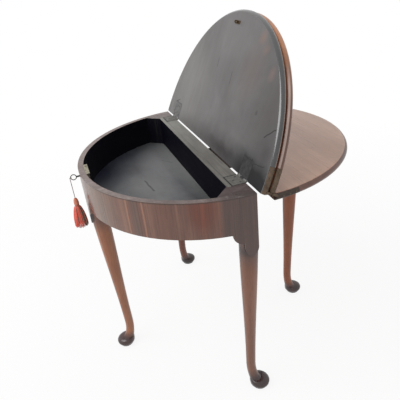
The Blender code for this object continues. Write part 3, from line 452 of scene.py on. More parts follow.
@dataclass(frozen=True)
class Mahogany:
    """Polished mahogany: long figure, fibres, short dark pores and a film of polish.

    The extras are left out where they are zero or empty: patches of another colour, among them painted
    shade and painted light, feet that are dark below a height, black stain up to a height above the lid
    pin, a pale strip at a height above the pin that ends at a run from the leaf's straight edge, which on
    the middle leaf is a painted highlight, scuffs, and a dark line below the rim.
    """

    name: str
    dark: Colour
    mid: Colour
    light: Colour
    grain: Grain = Grain.ALONG_X
    tilt: float = 0.0
    figure: float = 24.0
    fibre_share: float = 0.28
    roughness: float = 0.32
    specular: float = 0.5
    polish: float = 0.35
    polish_roughness: float = 0.14
    scuff: float = 0.0
    # Colour of the scuffs and of the pale strip; on the middle leaf that strip is a painted highlight.
    scuff_and_highlight_colour: Colour = (0.32, 0.27, 0.25)
    rim_line: float = 0.0
    patches: tuple[Patch, ...] = ()
    dark_below: float = 0.0
    foot_colour: Colour = (0.035, 0.019, 0.021)
    pale_strip_height: float = 0.0
    pale_strip_width: float = 0.0030
    pale_strip_run: float = 0.5
    stained_to: float = 0.0
    stain: Colour = (0.012, 0.012, 0.014)

    def along(self, g: Graph) -> Socket:
        """Coordinates whose first axis follows the fibres.

        Args:
            g: The material's nodes.

        Returns:
            The vector.
        """
        if self.grain is Grain.ROUND_FRAME:
            return g.round_frame(FRAME_CENTRE_Y, FRAME_RADIUS)
        turns = {Grain.ALONG_X: (self.tilt, 0.0, 0.0), Grain.ALONG_Y: (self.tilt, 0.0, math.pi / 2),
                 Grain.ALONG_Z: (0.0, math.pi / 2, 0.0)}
        return g.place(turn=turns[self.grain])

    def add_patches(self, wood: WoodLayers) -> None:
        """Lays the patches over the wood, in tones that follow its figure.

        Args:
            wood: The layers so far.
        """
        g = wood.g
        wandering = g.waver(wood.here, *PATCH_WAVER)
        for patch in self.patches:
            wood.tint(g.patch(wandering, patch), g.tones(wood.mixed, patch.colour, PATCH_TONES))

    def add_foot(self, wood: WoodLayers) -> None:
        """Darkens and smooths the wood towards the floor.

        Args:
            wood: The layers so far.
        """
        g = wood.g
        height = g.part(g.place(), "Z")
        share = g.fit(height, self.dark_below * FOOT_FULL, self.dark_below, FOOT_SHARE, 0.0)
        wood.tint(share, g.tones(wood.mixed, self.foot_colour, FOOT_TONES))
        wood.dull(g.fit(height, self.dark_below * FOOT_SMOOTH, self.dark_below, FOOT_ROUGHNESS, 1.0))

    def add_stain(self, wood: WoodLayers) -> None:
        """Carries black stain round the edge, up to a line that wanders with the clouds.

        Args:
            wood: The layers so far.
        """
        g = wood.g
        lift = g.math("SUBTRACT", g.part(wood.here, "Z"), LEVEL_PIN[2])
        edge = g.math("ADD", lift, g.fit(wood.cloud, *g.SPREAD, -STAIN_WANDER, STAIN_WANDER))
        low, high = self.stained_to - STAIN_WANDER, self.stained_to + STAIN_WANDER
        wood.tint(g.fit(edge, low, high, 1.0, 0.0), self.stain)
        wood.dull(g.fit(lift, *STAIN_DULLING))

    def add_pale_strip(self, wood: WoodLayers) -> None:
        """Lays a pale strip along a leaf's edge, broken by the clouds. On the middle leaf it is a painted
        highlight; on the lid it is a thin pale line just above the black stain.

        Args:
            wood: The layers so far.
        """
        g = wood.g
        away = g.gap(g.part(wood.here, "Z"), LEVEL_PIN[2] + self.pale_strip_height)
        strip = g.fit(away, self.pale_strip_width * PALE_STRIP_CORE, self.pale_strip_width, PALE_STRIP_SHARE, 0.0)
        run = g.math("SUBTRACT", LEVEL_PIN[1], g.part(wood.here, "Y"))
        strip = g.math("MULTIPLY", strip, g.fit(run, self.pale_strip_run - PALE_STRIP_FADE, self.pale_strip_run, 1.0, 0.0))
        wood.tint(g.math("MULTIPLY", strip, g.fit(wood.cloud, *PALE_STRIP_CLOUD_SHARE)), self.scuff_and_highlight_colour)

    def add_scuffs(self, wood: WoodLayers) -> None:
        """Scatters pale scuffs over the wood."""
        scuffs = wood.g.noise(wood.here, SCUFFS)
        wood.tint(wood.g.fit(scuffs, *SCUFF_SPAN, 0.0, self.scuff), self.scuff_and_highlight_colour)

    def add_rim_line(self, wood: WoodLayers) -> None:
        """Draws a dark line on the veneer, a little below the rim."""
        away = wood.g.gap(wood.g.part(wood.here, "X"), FRAME_TOP - self.rim_line)
        wood.tint(wood.g.fit(away, *RIM_LINE_SHARE), shaded(self.dark, RIM_LINE_SHADE))

    def material(self) -> bpy.types.Material:
        """Builds the finish.

        Returns:
            A material whose colour follows noise drawn out along the grain, with pores, polish and extras.
        """
        g = Graph.named(self.name)
        here = self.along(g)
        patterns = (Pattern(self.figure, *FIGURE), FIBRE, PORES, WOOD_CLOUD)
        broad, fibre, pores, cloud = (g.noise(here, pattern) for pattern in patterns)
        mixed = g.weighted(broad, fibre, self.fibre_share)
        colour = g.ramp(mixed, list(zip(WOOD_STOPS, (self.dark, self.mid, self.light))))
        wood = WoodLayers(g, here, mixed, cloud, colour, g.uneven(fibre, self.roughness, *WOOD_UNEVEN))
        wood.tint(g.fit(cloud, *CLOUD_SHARE), self.dark)
        wood.tint(g.fit(pores, *PORE_SPAN, 0.0, PORE_SHARE), shaded(self.dark, PORE_SHADE))
        for wanted, add in ((self.patches, self.add_patches), (self.dark_below, self.add_foot),
                            (self.stained_to, self.add_stain), (self.pale_strip_height, self.add_pale_strip),
                            (self.scuff, self.add_scuffs), (self.rim_line, self.add_rim_line)):
            if wanted:
                add(wood)
        relief = g.math("SUBTRACT", g.math("MULTIPLY", fibre, FIBRE_HEIGHT),
                        g.fit(pores, *PORE_SPAN, 0.0, PORE_DEPTH))
        return g.done(Base_Color=wood.colour, Roughness=wood.rough, Specular_IOR_Level=self.specular,
                      Coat_Weight=self.polish, Coat_Roughness=self.polish_roughness,
                      Normal=g.bump(relief, *WOOD_RELIEF))


@dataclass(frozen=True)
class BlackStain:
    """Black-stained board: satin, clouded, with rubs that show the wood, drawn scuffs and fine cracks."""

    name: str
    stain: Colour
    bloom: Colour
    rub: Colour
    grain: Grain = Grain.ALONG_Y
    tilt: float = 0.0
    roughness: float = 0.42
    rubbed: float = 0.35
    cracked: float = 0.8
    specular: float = 0.5
    origin_y: float = 0.0
    patches: tuple[Patch, ...] = ()
    marks: tuple[Mark, ...] = ()

    def material(self) -> bpy.types.Material:
        """Builds the finish.

        Returns:
            A dark material with a clouded bloom, brown rubs, drawn scuffs and cracks.
        """
        g = Graph.named(self.name)
        here = g.place(turn=(self.tilt, 0.0, math.pi / 2 if self.grain is Grain.ALONG_Y else 0.0))
        patterns = (STAIN_CLOUD, STAIN_STREAKS, STAIN_GRIT, CRACK_PLACES)
        cloud, drawn, grit, places = (g.noise(here, pattern) for pattern in patterns)
        colour = g.mix(g.fit(cloud, *BLOOM_SPAN), self.stain, self.bloom)
        colour = g.mix(g.fit(drawn, *RUB_SPAN, 0.0, self.rubbed), colour, self.rub)
        colour = g.mix(g.fit(grit, *GRIT_SHARE), colour, shaded(self.bloom, GRIT_SHADE))
        rough = g.uneven(drawn, self.roughness, *STAIN_UNEVEN)
        level = g.vector("SUBTRACT", g.place(turn=(self.tilt, 0.0, 0.0)), (0.0, self.origin_y, 0.0))
        blurred = g.waver(level, *BLUR_WAVER)
        for patch in self.patches:
            share = g.patch(blurred, patch)
            colour = g.mix(share, colour, patch.colour)
            if patch.dull > 0.0:
                rough = g.math("MAXIMUM", rough, g.math("MULTIPLY", share, patch.dull))
        crack = g.math("MULTIPLY", g.fit(g.cells(here, CRACK_CELLS), 0.0, CRACK_WIDTH, self.cracked, 0.0),
                       g.fit(places, *CRACK_SPAN))
        wavering = g.waver(level, *MARK_WAVER)
        for mark in self.marks:
            crack = g.math("MAXIMUM", crack, g.mark(wavering, mark))
        colour = g.mix(crack, colour, shaded(self.stain, CRACK_SHADE))
        rough = g.math("MAXIMUM", rough, crack)
        relief = g.math("SUBTRACT", g.math("MULTIPLY", drawn, STREAK_HEIGHT), crack)
        return g.done(Base_Color=colour, Roughness=rough, Specular_IOR_Level=self.specular,
                      Normal=g.bump(relief, *STAIN_RELIEF))


@dataclass(frozen=True)
class GreyOak:
    """Old oak, stained and greyed, with open lengthwise grain."""

    name: str
    dark: Colour
    pale: Colour
    joint_y: float
    roughness: float = 0.58
    patches: tuple[Patch, ...] = ()
    marks: tuple[Mark, ...] = ()

    def material(self) -> bpy.types.Material:
        """Builds the finish.

        Returns:
            A material with streaks along X, pale patches, marks and a dark line where two boards meet.
        """
        g = Graph.named(self.name)
        here = g.place()
        streak = g.noise(here, OAK_STREAKS)
        mixed = g.weighted(streak, g.noise(here, OAK_CLOUD), OAK_CLOUD_SHARE)
        colour = g.ramp(mixed, list(zip(OAK_STOPS, (self.dark, self.pale))))
        for patch in self.patches:
            colour = g.mix(g.patch(here, patch), colour, g.tones(mixed, patch.colour, OAK_PATCH_TONES))
        joint = g.fit(g.gap(g.part(here, "Y"), self.joint_y), *JOINT_SHARE)
        colour = g.mix(joint, colour, shaded(self.dark, JOINT_SHADE))
        for mark in self.marks:
            colour = g.mix(g.mark(here, mark), colour, shaded(self.dark, OAK_MARK_SHADE))
        return g.done(Base_Color=colour, Roughness=g.uneven(streak, self.roughness, *OAK_UNEVEN),
                      Normal=g.bump(streak, *OAK_RELIEF))


@dataclass(frozen=True)
class OldMetal:
    """Worn metal with tarnish in clouds and specks."""

    name: str
    metal: Colour
    tarnish: Colour
    roughness: float
    tarnished: float = 0.7
    scale: float = 90.0
    metallic: float = 0.85

    def material(self) -> bpy.types.Material:
        """Builds the finish.

        Returns:
            A metal whose colour and roughness follow two sizes of noise.
        """
        g = Graph.named(self.name)
        here = g.place()
        cloud = g.noise(here, Pattern(self.scale, 1.0, *TARNISH_GRAIN))
        speck = g.noise(here, Pattern(self.scale * SPECK_RATIO, 1.0, *SPECK_GRAIN))
        share = g.fit(cloud, *TARNISH_SPAN, TARNISH_LEAST, self.tarnished)
        colour = g.mix(share, self.metal, self.tarnish)
        colour = g.mix(g.fit(speck, *SPECK_SHARE), colour, shaded(self.tarnish, SPECK_SHADE))
        return g.done(Base_Color=colour, Metallic=self.metallic,
                      Roughness=g.uneven(cloud, self.roughness, *METAL_UNEVEN),
                      Normal=g.bump(speck, *METAL_RELIEF))


@dataclass(frozen=True)
class Silk:
    """Silk thread in two colours, chosen along each strand by the mesh's thread value."""

    name: str
    first: Colour
    second: Colour
    roughness: float = 0.62
    sheen: float = 0.35
    sheen_roughness: float = 0.4

    def material(self) -> bpy.types.Material:
        """Builds the finish.

        Returns:
            A material that fine noise shades and whose edges a sheen lifts.
        """
        g = Graph.named(self.name)
        fuzz = g.noise(g.place(scale=FUZZ_STRETCH), FUZZ)
        thread = g.node("Attribute", {}, "Fac", attribute_name="thread")
        colour = g.mix(g.fit(thread, *THREAD_SPAN), self.first, self.second)
        colour = g.mix(g.fit(fuzz, *FUZZ_SHARE), colour, shaded(self.first, FUZZ_SHADE))
        return g.done(Base_Color=colour, Roughness=self.roughness, Sheen_Weight=self.sheen,
                      Sheen_Roughness=self.sheen_roughness, Normal=g.bump(fuzz, *SILK_RELIEF))


Finish = Mahogany | BlackStain | GreyOak | OldMetal | Silk
STRIP_HEIGHT, STRIP_REACH = 0.62, 0.30


def veneer_strip(at: float, half: float, colour: Colour, share: float, edge: float = 0.3) -> Patch:
    """An upright strip of the bent veneer, taller than the frieze, at a distance round the bow."""
    return Patch((STRIP_HEIGHT, at), (STRIP_REACH, half), colour, share, edge)


def hinge_outline(pin: float, reach: float, width: float, share: float) -> tuple[Mark, ...]:
    """Dark lines round the two hinge plates, where they are let into the wood.

    Args:
        pin: The hinge pin's place along the surface's second axis.
        reach: How far the plates reach from the pin, with its direction.
        width: The lines' width.
        share: The lines' strength.

    Returns:
        Two ends and the far edge of each plate.
    """
    half = (HINGE_WIDTH + width) / 2
    far = pin + reach + math.copysign(width / 2, reach)
    lines = []
    for left, right in ((centre - half, centre + half) for centre in (-HINGE_CENTRE, HINGE_CENTRE)):
        ends = (((left, pin), (left, far)), ((right, pin), (right, far)), ((left, far), (right, far)))
        lines += [Mark(start, end, width, share) for start, end in ends]
    return tuple(lines)


VENEER_PATCHES = (
    # Painted shade on the front tongue, darker than the veneer round it.
    Patch((0.530, 0.0), (0.060, 0.045), (0.036, 0.025, 0.024), 0.90, 0.6),
    veneer_strip(0.150, 0.085, (0.148, 0.083, 0.052), 0.70),
    veneer_strip(0.2560, 0.0032, (0.300, 0.135, 0.078), 0.75),
    veneer_strip(0.2430, 0.0120, (0.215, 0.105, 0.066), 0.60),
    veneer_strip(0.2790, 0.0130, (0.105, 0.060, 0.046), 0.70),
    veneer_strip(0.3020, 0.0030, (0.290, 0.130, 0.076), 0.70),
    veneer_strip(0.3180, 0.0110, (0.185, 0.088, 0.058), 0.60),
    veneer_strip(0.3560, 0.0260, (0.126, 0.050, 0.030), 0.60),
    veneer_strip(0.3880, 0.0035, (0.215, 0.105, 0.070), 0.60),
    Patch((0.66, 0.4480), (0.09, 0.0420), (0.138, 0.026, 0.007), 0.85, 0.45),
    veneer_strip(0.4860, 0.0020, (0.200, 0.070, 0.035), 0.60),
    # Painted shade on the right end of the frieze and its tongue, over the right leg.
    veneer_strip(0.5600, 0.0720, (0.054, 0.029, 0.025), 0.80, 0.85),
)
LID_PATCHES = (
    # Painted reflection of the lamps' sheen: paler to the left and top, darker to the right, in the next
    # three patches.
    Patch((-0.230, -0.130), (0.190, 0.190), (0.168, 0.160, 0.150), 0.70, 0.1),
    Patch((-0.030, -0.300), (0.170, 0.090), (0.136, 0.124, 0.126), 0.60, 0.1),
    Patch((0.300, -0.170), (0.110, 0.150), (0.040, 0.031, 0.030), 0.80, 0.1),
    Patch((0.150, -0.245), (0.085, 0.090), (0.098, 0.074, 0.066), 0.60, 0.1),
    Patch((0.153, -0.3250), (0.022, 0.022), (0.210, 0.112, 0.076), 0.50, 0.1),
    Patch((0.186, -0.3020), (0.020, 0.018), (0.170, 0.104, 0.082), 0.55, 0.1),
    Patch((0.249, -0.2540), (0.020, 0.024), (0.170, 0.098, 0.076), 0.50, 0.1),
    Patch((0.239, -0.1560), (0.009, 0.008), (0.014, 0.012, 0.012), 0.80),
    # Painted shade and painted reflection of the dark well: the next five patches darken the lid along the
    # hinge line and towards its lower right corner.
    Patch((0.262, -0.0500), (0.060, 0.028), (0.018, 0.020, 0.018), 0.70, 0.1, 0.9),
    Patch((-0.070, -0.0150), (0.330, 0.036), (0.026, 0.022, 0.021), 0.45, 0.1, 0.6),
    Patch((0.130, -0.0200), (0.250, 0.056), (0.020, 0.016, 0.016), 0.85, 0.1, 0.9),
    Patch((0.320, -0.0100), (0.190, 0.075), (0.007, 0.007, 0.009), 0.96, 0.35, 1.0),
    Patch((0.340, -0.0850), (0.085, 0.085), (0.026, 0.023, 0.023), 0.75, 0.1, 0.7),
    Patch((-0.300, -0.0350), (0.040, 0.030), (0.014, 0.014, 0.014), 0.60, 0.1),
)
LID_MARKS = (
    Mark((-0.070, -0.242), (-0.063, -0.219), 0.0022, 0.60),
    Mark((0.0425, -0.2205), (0.048, -0.188), 0.0022, 0.60),
    Mark((0.310, -0.116), (0.3466, -0.1452), 0.0020, 0.90),
    Mark((0.2968, -0.0560), (0.297, -0.0335), 0.0024, 0.90),
    Mark((0.306, -0.0480), (0.3544, -0.0575), 0.0018, 0.80),
    Mark((-0.318, -0.050), (-0.285, -0.066), 0.0020, 0.75),
    Mark((-0.300, -0.062), (-0.296, -0.020), 0.0018, 0.70),
    Mark((-0.318, -0.020), (-0.270, -0.016), 0.0020, 0.70),
)
FLOOR_PATCHES = (
    # Painted shadow of the left wall on the well's floor, in the next two patches.
    Patch((-0.270, -0.220), (0.130, 0.120), (0.014, 0.019, 0.034), 0.70, 0.20),
    Patch((-0.160, -0.320), (0.170, 0.110), (0.006, 0.009, 0.024), 0.90, 0.30),
    Patch((-0.130, -0.200), (0.050, 0.045), (0.046, 0.044, 0.048), 0.50, 0.1),
    # Painted light on the lit part of the well's floor, in the next two patches.
    Patch((-0.150, -0.115), (0.170, 0.090), (0.205, 0.205, 0.209), 0.60, 0.1),
    Patch((0.020, -0.190), (0.120, 0.080), (0.140, 0.139, 0.137), 0.60, 0.1),
    # Painted shade beside the liner.
    Patch((0.130, -0.060), (0.130, 0.060), (0.024, 0.026, 0.030), 0.70, 0.1),
    Patch((-0.080, -0.066), (0.330, 0.042), (0.230, 0.234, 0.228), 0.90, 0.1),
)
MIDDLE_EDGE_PATCHES = (
    Patch((0.36, LEVEL_PIN[1] - 0.13), (0.12, 0.16), (0.085, 0.030, 0.019), 0.85, 0.5),
    # Painted light: orange on the top of the arch, where the edge is lit from above.
    Patch((0.16, LEVEL_PIN[1] - 0.36), (0.22, 0.11), (0.480, 0.200, 0.088), 0.85, 0.4),
)
FLOOR_MARKS = (
    Mark((-0.032, -0.199), (0.048, -0.191), 0.0040, 0.55),
    Mark((-0.155, -0.110), (-0.120, -0.085), 0.0030, 0.35),
)
FRIEZE = Mahogany("frieze_veneer_polished", (0.084, 0.034, 0.020), (0.147, 0.062, 0.039),
                  (0.215, 0.099, 0.063), grain=Grain.ROUND_FRAME, figure=62.0, fibre_share=0.48,
                  roughness=0.30, polish=0.40, rim_line=0.0020, patches=VENEER_PATCHES)
RIM = Mahogany("rim_worn", (0.151, 0.111, 0.101), (0.225, 0.174, 0.161), (0.305, 0.246, 0.231),
               grain=Grain.ROUND_FRAME, roughness=0.50, polish=0.05, polish_roughness=0.30, scuff=0.5,
               patches=(Patch((0.674, 0.42), (0.30, 0.24), (0.098, 0.069, 0.062), 0.70, 0.4),
                        Patch((0.674, 0.58), (0.30, 0.12), (0.040, 0.027, 0.025), 0.90, 0.4)))
STILE = Mahogany("stile_top_worn", (0.070, 0.048, 0.044), (0.115, 0.082, 0.075), (0.180, 0.140, 0.130),
                 grain=Grain.ALONG_Y, roughness=0.42, polish=0.15, scuff=0.75)
RIGHT_STILE = Mahogany("right_stile_top_worn", (0.034, 0.021, 0.021), (0.062, 0.041, 0.040),
                       (0.100, 0.072, 0.070), grain=Grain.ALONG_Y, roughness=0.48, specular=0.40,
                       polish=0.0, scuff=0.5, scuff_and_highlight_colour=(0.165, 0.128, 0.126))
LEAF = Mahogany("leaf_polished", (0.333, 0.171, 0.101), (0.485, 0.275, 0.181), (0.580, 0.354, 0.248),
                figure=15.0, roughness=0.30, polish=0.35)
REAR_EDGE = Mahogany("rear_edge_dark", (0.062, 0.022, 0.013), (0.112, 0.042, 0.027), (0.165, 0.070, 0.048),
                     figure=15.0, roughness=0.34, polish=0.20)
UPRIGHT_LEAF = Mahogany("upright_leaf_polished", (0.130, 0.042, 0.022), (0.245, 0.092, 0.050),
                        (0.360, 0.155, 0.090), tilt=LID_OPEN, figure=15.0, roughness=0.34, polish=0.30,
                        polish_roughness=0.22)
# Its pale strip along the edge is a painted highlight, ending at a run of 0.29 from the straight edge.
MIDDLE_EDGE = Mahogany("middle_edge_painted_highlight", (0.165, 0.062, 0.030), (0.255, 0.106, 0.052),
                       (0.335, 0.155, 0.084), tilt=LID_OPEN, figure=15.0, roughness=0.34, polish=0.20,
                       polish_roughness=0.20, scuff_and_highlight_colour=(0.560, 0.440, 0.390),
                       pale_strip_height=1.27 * LEAF_THICK + LEAF_GAP, pale_strip_run=0.29, patches=MIDDLE_EDGE_PATCHES)
# Its pale strip is a thin pale line just above the black stain on the lid's edge.
LID_EDGE = Mahogany("lid_edge_dark", (0.130, 0.058, 0.038), (0.210, 0.105, 0.072), (0.290, 0.165, 0.120),
                    tilt=LID_OPEN, figure=15.0, roughness=0.20, specular=0.8, polish=0.7,
                    polish_roughness=0.12, scuff_and_highlight_colour=(0.420, 0.330, 0.290), pale_strip_height=0.0136,
                    pale_strip_width=0.0016, stained_to=0.0132)
LEG = Mahogany("leg_polished", (0.116, 0.042, 0.021), (0.200, 0.079, 0.042), (0.268, 0.118, 0.068),
               grain=Grain.ALONG_Z, figure=30.0, roughness=0.36, polish=0.16, dark_below=0.072,
               # The two patches at the leg's top are painted shadow under the frieze's tongue.
               patches=(Patch((0.510, 0.0), (0.060, 3.0), (0.118, 0.062, 0.048), 0.80, 0.3),
                        Patch((0.512, 0.0), (0.022, 3.0), (0.040, 0.026, 0.024), 0.80, 0.2)))
# A darker copy of the leg's finish with darker feet: painted shade on the left leg.
LEFT_LEG = Mahogany("left_leg_polished", (0.092, 0.026, 0.013), (0.158, 0.048, 0.025), (0.214, 0.073, 0.040),
                    grain=Grain.ALONG_Z, figure=30.0, roughness=0.36, polish=0.10, dark_below=0.054,
                    foot_colour=(0.020, 0.012, 0.013))
FRONT_LEG = Mahogany("front_leg_polished", (0.186, 0.061, 0.026), (0.318, 0.117, 0.052),
                     (0.416, 0.172, 0.086), grain=Grain.ALONG_Z, figure=30.0, roughness=0.36,
                     polish=0.16, dark_below=0.056,
                     # The patch at the leg's top is painted shadow under the frieze's tongue.
                     patches=(Patch((0.540, 0.0), (0.072, 3.0), (0.135, 0.064, 0.044), 0.85, 0.4),))
GATE = Mahogany("gate_polished", (0.155, 0.040, 0.014), (0.268, 0.077, 0.028), (0.348, 0.116, 0.046),
                grain=Grain.ALONG_Z, figure=30.0, roughness=0.40, polish=0.12, dark_below=0.056)
# Mahogany made nearly black: painted shade where the fly rail lies under the leaves.
FLY_RAIL = Mahogany("fly_rail_dark", (0.022, 0.014, 0.011), (0.040, 0.025, 0.019), (0.064, 0.041, 0.031),
                    figure=30.0, roughness=0.55, polish=0.0)
LID_FACE = BlackStain("lid_underside_stain", (0.072, 0.068, 0.067), (0.122, 0.115, 0.114),
                      (0.158, 0.118, 0.106), tilt=LID_OPEN, roughness=0.40, rubbed=0.30, cracked=0.0,
                      origin_y=LEVEL_PIN[1], patches=LID_PATCHES,
                      marks=LID_MARKS + hinge_outline(0.0, -HINGE_LID_REACH, 0.0022, 0.65))
WELL = BlackStain("well_stain", (0.0025, 0.0020, 0.0050), (0.0040, 0.0036, 0.0070), (0.016, 0.013, 0.010),
                  grain=Grain.ALONG_X, roughness=0.50, rubbed=0.20, cracked=0.2, specular=0.15)
LINER = BlackStain("liner_stain", (0.0018, 0.0015, 0.0046), (0.0028, 0.0026, 0.0066), (0.010, 0.009, 0.010),
                   grain=Grain.ALONG_X, roughness=0.55, rubbed=0.20, cracked=0.2, specular=0.05)
BLOCK = BlackStain("corner_block_stain", WELL.stain, WELL.bloom, (0.040, 0.036, 0.027), tilt=math.pi / 2,
                   roughness=0.50, rubbed=0.75, cracked=0.2, specular=0.15)
FLOOR_BOARD = BlackStain("well_floor_stain", (0.055, 0.058, 0.064), (0.115, 0.117, 0.120),
                         (0.150, 0.146, 0.140), grain=Grain.ALONG_X, roughness=0.36, rubbed=0.30,
                         cracked=0.2, patches=FLOOR_PATCHES, marks=FLOOR_MARKS)
RAIL = GreyOak("rail_grey_oak", (0.087, 0.081, 0.072), (0.186, 0.176, 0.158),
               joint_y=FRAME_CENTRE_Y - RAIL_DEPTH,
               patches=(Patch((-0.330, -0.030), (0.400, 0.300), (0.250, 0.249, 0.224), 0.95, 0.1),),
               marks=hinge_outline(LID_PIN[1], -HINGE_RAIL_REACH, 0.0034, 0.95))
IRON = OldMetal("hinge_iron", (0.080, 0.078, 0.074), (0.030, 0.028, 0.026), 0.52)
PLATE = OldMetal("hinge_plate_iron", (0.190, 0.183, 0.165), (0.100, 0.096, 0.088), 0.50, metallic=0.45)
# The right lid plate's iron is darkened to the painted shade round it; the paler copy below is painted light,
# like the lid's left side.
LID_PLATE = OldMetal("lid_plate_iron", (0.032, 0.032, 0.033), (0.016, 0.015, 0.016), 0.66, metallic=0.20)
PALE_LID_PLATE = OldMetal("lid_plate_painted_light_iron", (0.146, 0.143, 0.140), (0.088, 0.086, 0.085), 0.55,
                          metallic=0.20)
BRASS = OldMetal("hinge_brass", (0.150, 0.107, 0.074), (0.074, 0.051, 0.038), 0.46)
DARK_BRASS = OldMetal("rear_hinge_brass", (0.076, 0.058, 0.047), (0.046, 0.034, 0.028), 0.52, metallic=0.6)
STAPLE = OldMetal("staple_brass", (0.130, 0.088, 0.050), (0.060, 0.040, 0.024), 0.50)
LOCK_BRASS = OldMetal("lock_brass", (0.420, 0.385, 0.295), (0.170, 0.150, 0.108), 0.46, tarnished=0.8,
                      scale=160.0)
STEEL = OldMetal("key_steel", (0.046, 0.044, 0.043), (0.018, 0.016, 0.015), 0.46, metallic=0.6)
SCREW = OldMetal("screw_brass", (0.190, 0.155, 0.105), (0.080, 0.064, 0.044), 0.44, scale=400.0)
CORD = Silk("cord_maroon", (0.130, 0.034, 0.034), (0.105, 0.060, 0.058))
TASSEL = Silk("tassel_threads", (0.850, 0.140, 0.090), (0.112, 0.106, 0.072))
HEAD = Silk("tassel_head_threads", (0.690, 0.235, 0.135), (0.460, 0.115, 0.062))


def grid_faces(rows: int, columns: int, count: int = 1) -> np.ndarray:
    """Four-cornered faces over stacked grids of points, in which the last column joins the first.

    Corner indices are row * columns + column, shifted by one row, by one column and by both.

    Args:
        rows: Points along the first parameter.
        columns: Points along the second parameter.
        count: How many such grids follow each other.

    Returns:
        An array of shape (faces, 4).
    """
    row, column = np.meshgrid(np.arange(rows - 1), np.arange(columns), indexing="ij")
    following = (column + 1) % columns
    one = np.stack([row * columns + column, row * columns + following,
                    (row + 1) * columns + following, (row + 1) * columns + column], axis=-1).reshape(-1, 4)
    return (one[None] + (np.arange(count) * rows * columns)[:, None, None]).reshape(-1, 4)


def capped_faces(rows: int, around: int, count: int = 1) -> list[list[int]]:
    """Faces of tubes that are closed at both ends.

    Args:
        rows: Rings along each tube.
        around: Points of each ring.
        count: How many such tubes follow each other.

    Returns:
        The sides, then the caps on the first rings, then those on the last rings.
    """
    starts = np.arange(count)[:, None] * rows * around
    first = starts + np.arange(around)[::-1]
    last = starts + (rows - 1) * around + np.arange(around)
    return grid_faces(rows, around, count).tolist() + first.tolist() + last.tolist()


def circle(steps: int) -> np.ndarray:
    """Angles round a full turn, in equal steps."""
    return np.linspace(0.0, FULL_TURN, steps, endpoint=False)


def rows_of(vector: Sequence[float], count: int) -> np.ndarray:
    """One vector repeated in rows, of shape (count, 3)."""
    return np.tile(vector, (count, 1))


def opened(shut: np.ndarray) -> np.ndarray:
    """The shut lid's directions on the open lid: y' = y cos a + z sin a and z' = z cos a - y sin a."""
    x, y, z = np.moveaxis(shut, -1, 0)
    return np.stack([x, y * OPEN_COS + z * OPEN_SIN, z * OPEN_COS - y * OPEN_SIN], axis=-1)


def mesh_object(name: str, points: np.ndarray, faces: np.ndarray | list[list[int]]) -> Piece:
    """A smoothly shaded mesh object at the origin.

    Args:
        name: The piece's name.
        points: Points, with the last axis of length three.
        faces: Corner indices of each face.

    Returns:
        The object, linked to the scene.
    """
    mesh = bpy.data.meshes.new(name)
    mesh.from_pydata(points.reshape(-1, 3).tolist(), [], faces if isinstance(faces, list) else faces.tolist())
    mesh.shade_smooth()
    mesh.update()
    made = bpy.data.objects.new(name, mesh)
    bpy.context.scene.collection.objects.link(made)
    return made


class Workshop:
    """Makes each finish once, keeps it and gives it to the pieces."""

    def __init__(self) -> None:
        """Starts with no material made."""
        self.made: dict[str, bpy.types.Material] = {}

    def get(self, finish: Finish) -> bpy.types.Material:
        """The material of a finish, made on first use.

        Args:
            finish: The finish.

        Returns:
            The material.
        """
        if finish.name not in self.made:
            self.made[finish.name] = finish.material()
        return self.made[finish.name]

    def carry(self, piece: Piece, body: str, slot: str, *finishes: Finish) -> Piece:
        """Gives a piece its materials and the body that it rides on.

        Args:
            piece: The piece.
            body: The body's name.
            slot: Not used.
            finishes: The finishes, in the order of the faces' numbers.

        Returns:
            The same piece.
        """
        for finish in finishes:
            piece.data.materials.append(self.get(finish))
        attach(piece, body)
        log.info("%s rides on %s", piece.name, body)
        return piece


SHOP = Workshop()


@dataclass
class CadCopy:
    """A node shown as a merged copy with smooth shading and finishes sorted by face."""

    node: str
    body: str
    slot: str
    finishes: tuple[Finish, ...]
    rule: FaceRule | None = None
    sharp: float = math.radians(35)

    def triangles(self) -> tuple[np.ndarray, np.ndarray]:
        """The node's points with doubles merged, and its triangles.

        Points are rounded to a micrometre and equal ones become one; triangles that collapse are dropped.

        Returns:
            Points of shape (n, 3) and corner indices of shape (m, 3).
        """
        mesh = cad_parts[self.node].data
        points = np.empty(len(mesh.vertices) * 3)
        mesh.vertices.foreach_get("co", points)
        mesh.calc_loop_triangles()
        corners = np.empty(len(mesh.loop_triangles) * 3, int)
        mesh.loop_triangles.foreach_get("vertices", corners)
        merged, index = np.unique(np.round(points.reshape(-1, 3), 6), axis=0, return_inverse=True)
        faces = index.reshape(-1)[corners].reshape(-1, 3)
        whole = (faces != np.roll(faces, 1, axis=1)).all(axis=1)
        return merged, faces[whole]

    def build(self) -> Piece:
        """Makes the copy, sorts its faces among the finishes and lets it stand for the node.

        Returns:
            The piece.
        """
        points, faces = self.triangles()
        piece = mesh_object(self.node + "_finish", points, faces)
        piece.data.set_sharp_from_angle(angle=self.sharp)
        piece.modifiers.new("even_normals", "WEIGHTED_NORMAL").keep_sharp = True
        SHOP.carry(piece, self.body, self.slot, *self.finishes)
        if self.rule is not None:
            a, b, c = (points[faces[:, i]] for i in range(3))
            normals = np.cross(b - a, c - a)
            normals /= np.maximum(np.linalg.norm(normals, axis=1, keepdims=True), NO_LENGTH)
            chosen = self.rule((a + b + c) / 3, normals)
            piece.data.polygons.foreach_set("material_index", chosen.astype(np.int32))
            piece.data.update()
        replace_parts(piece, self.node)
        return piece


# Face rules take the faces' centres and unit normals, of shape (n, 3) each, and return which of the
# piece's finishes each face has. The first three numbers are cosines between a normal and a direction.
LOOKS_UP, LOOKS_BACK, LIES_FLAT = 0.7, -0.5, 0.985
TOP_BAND = 0.004


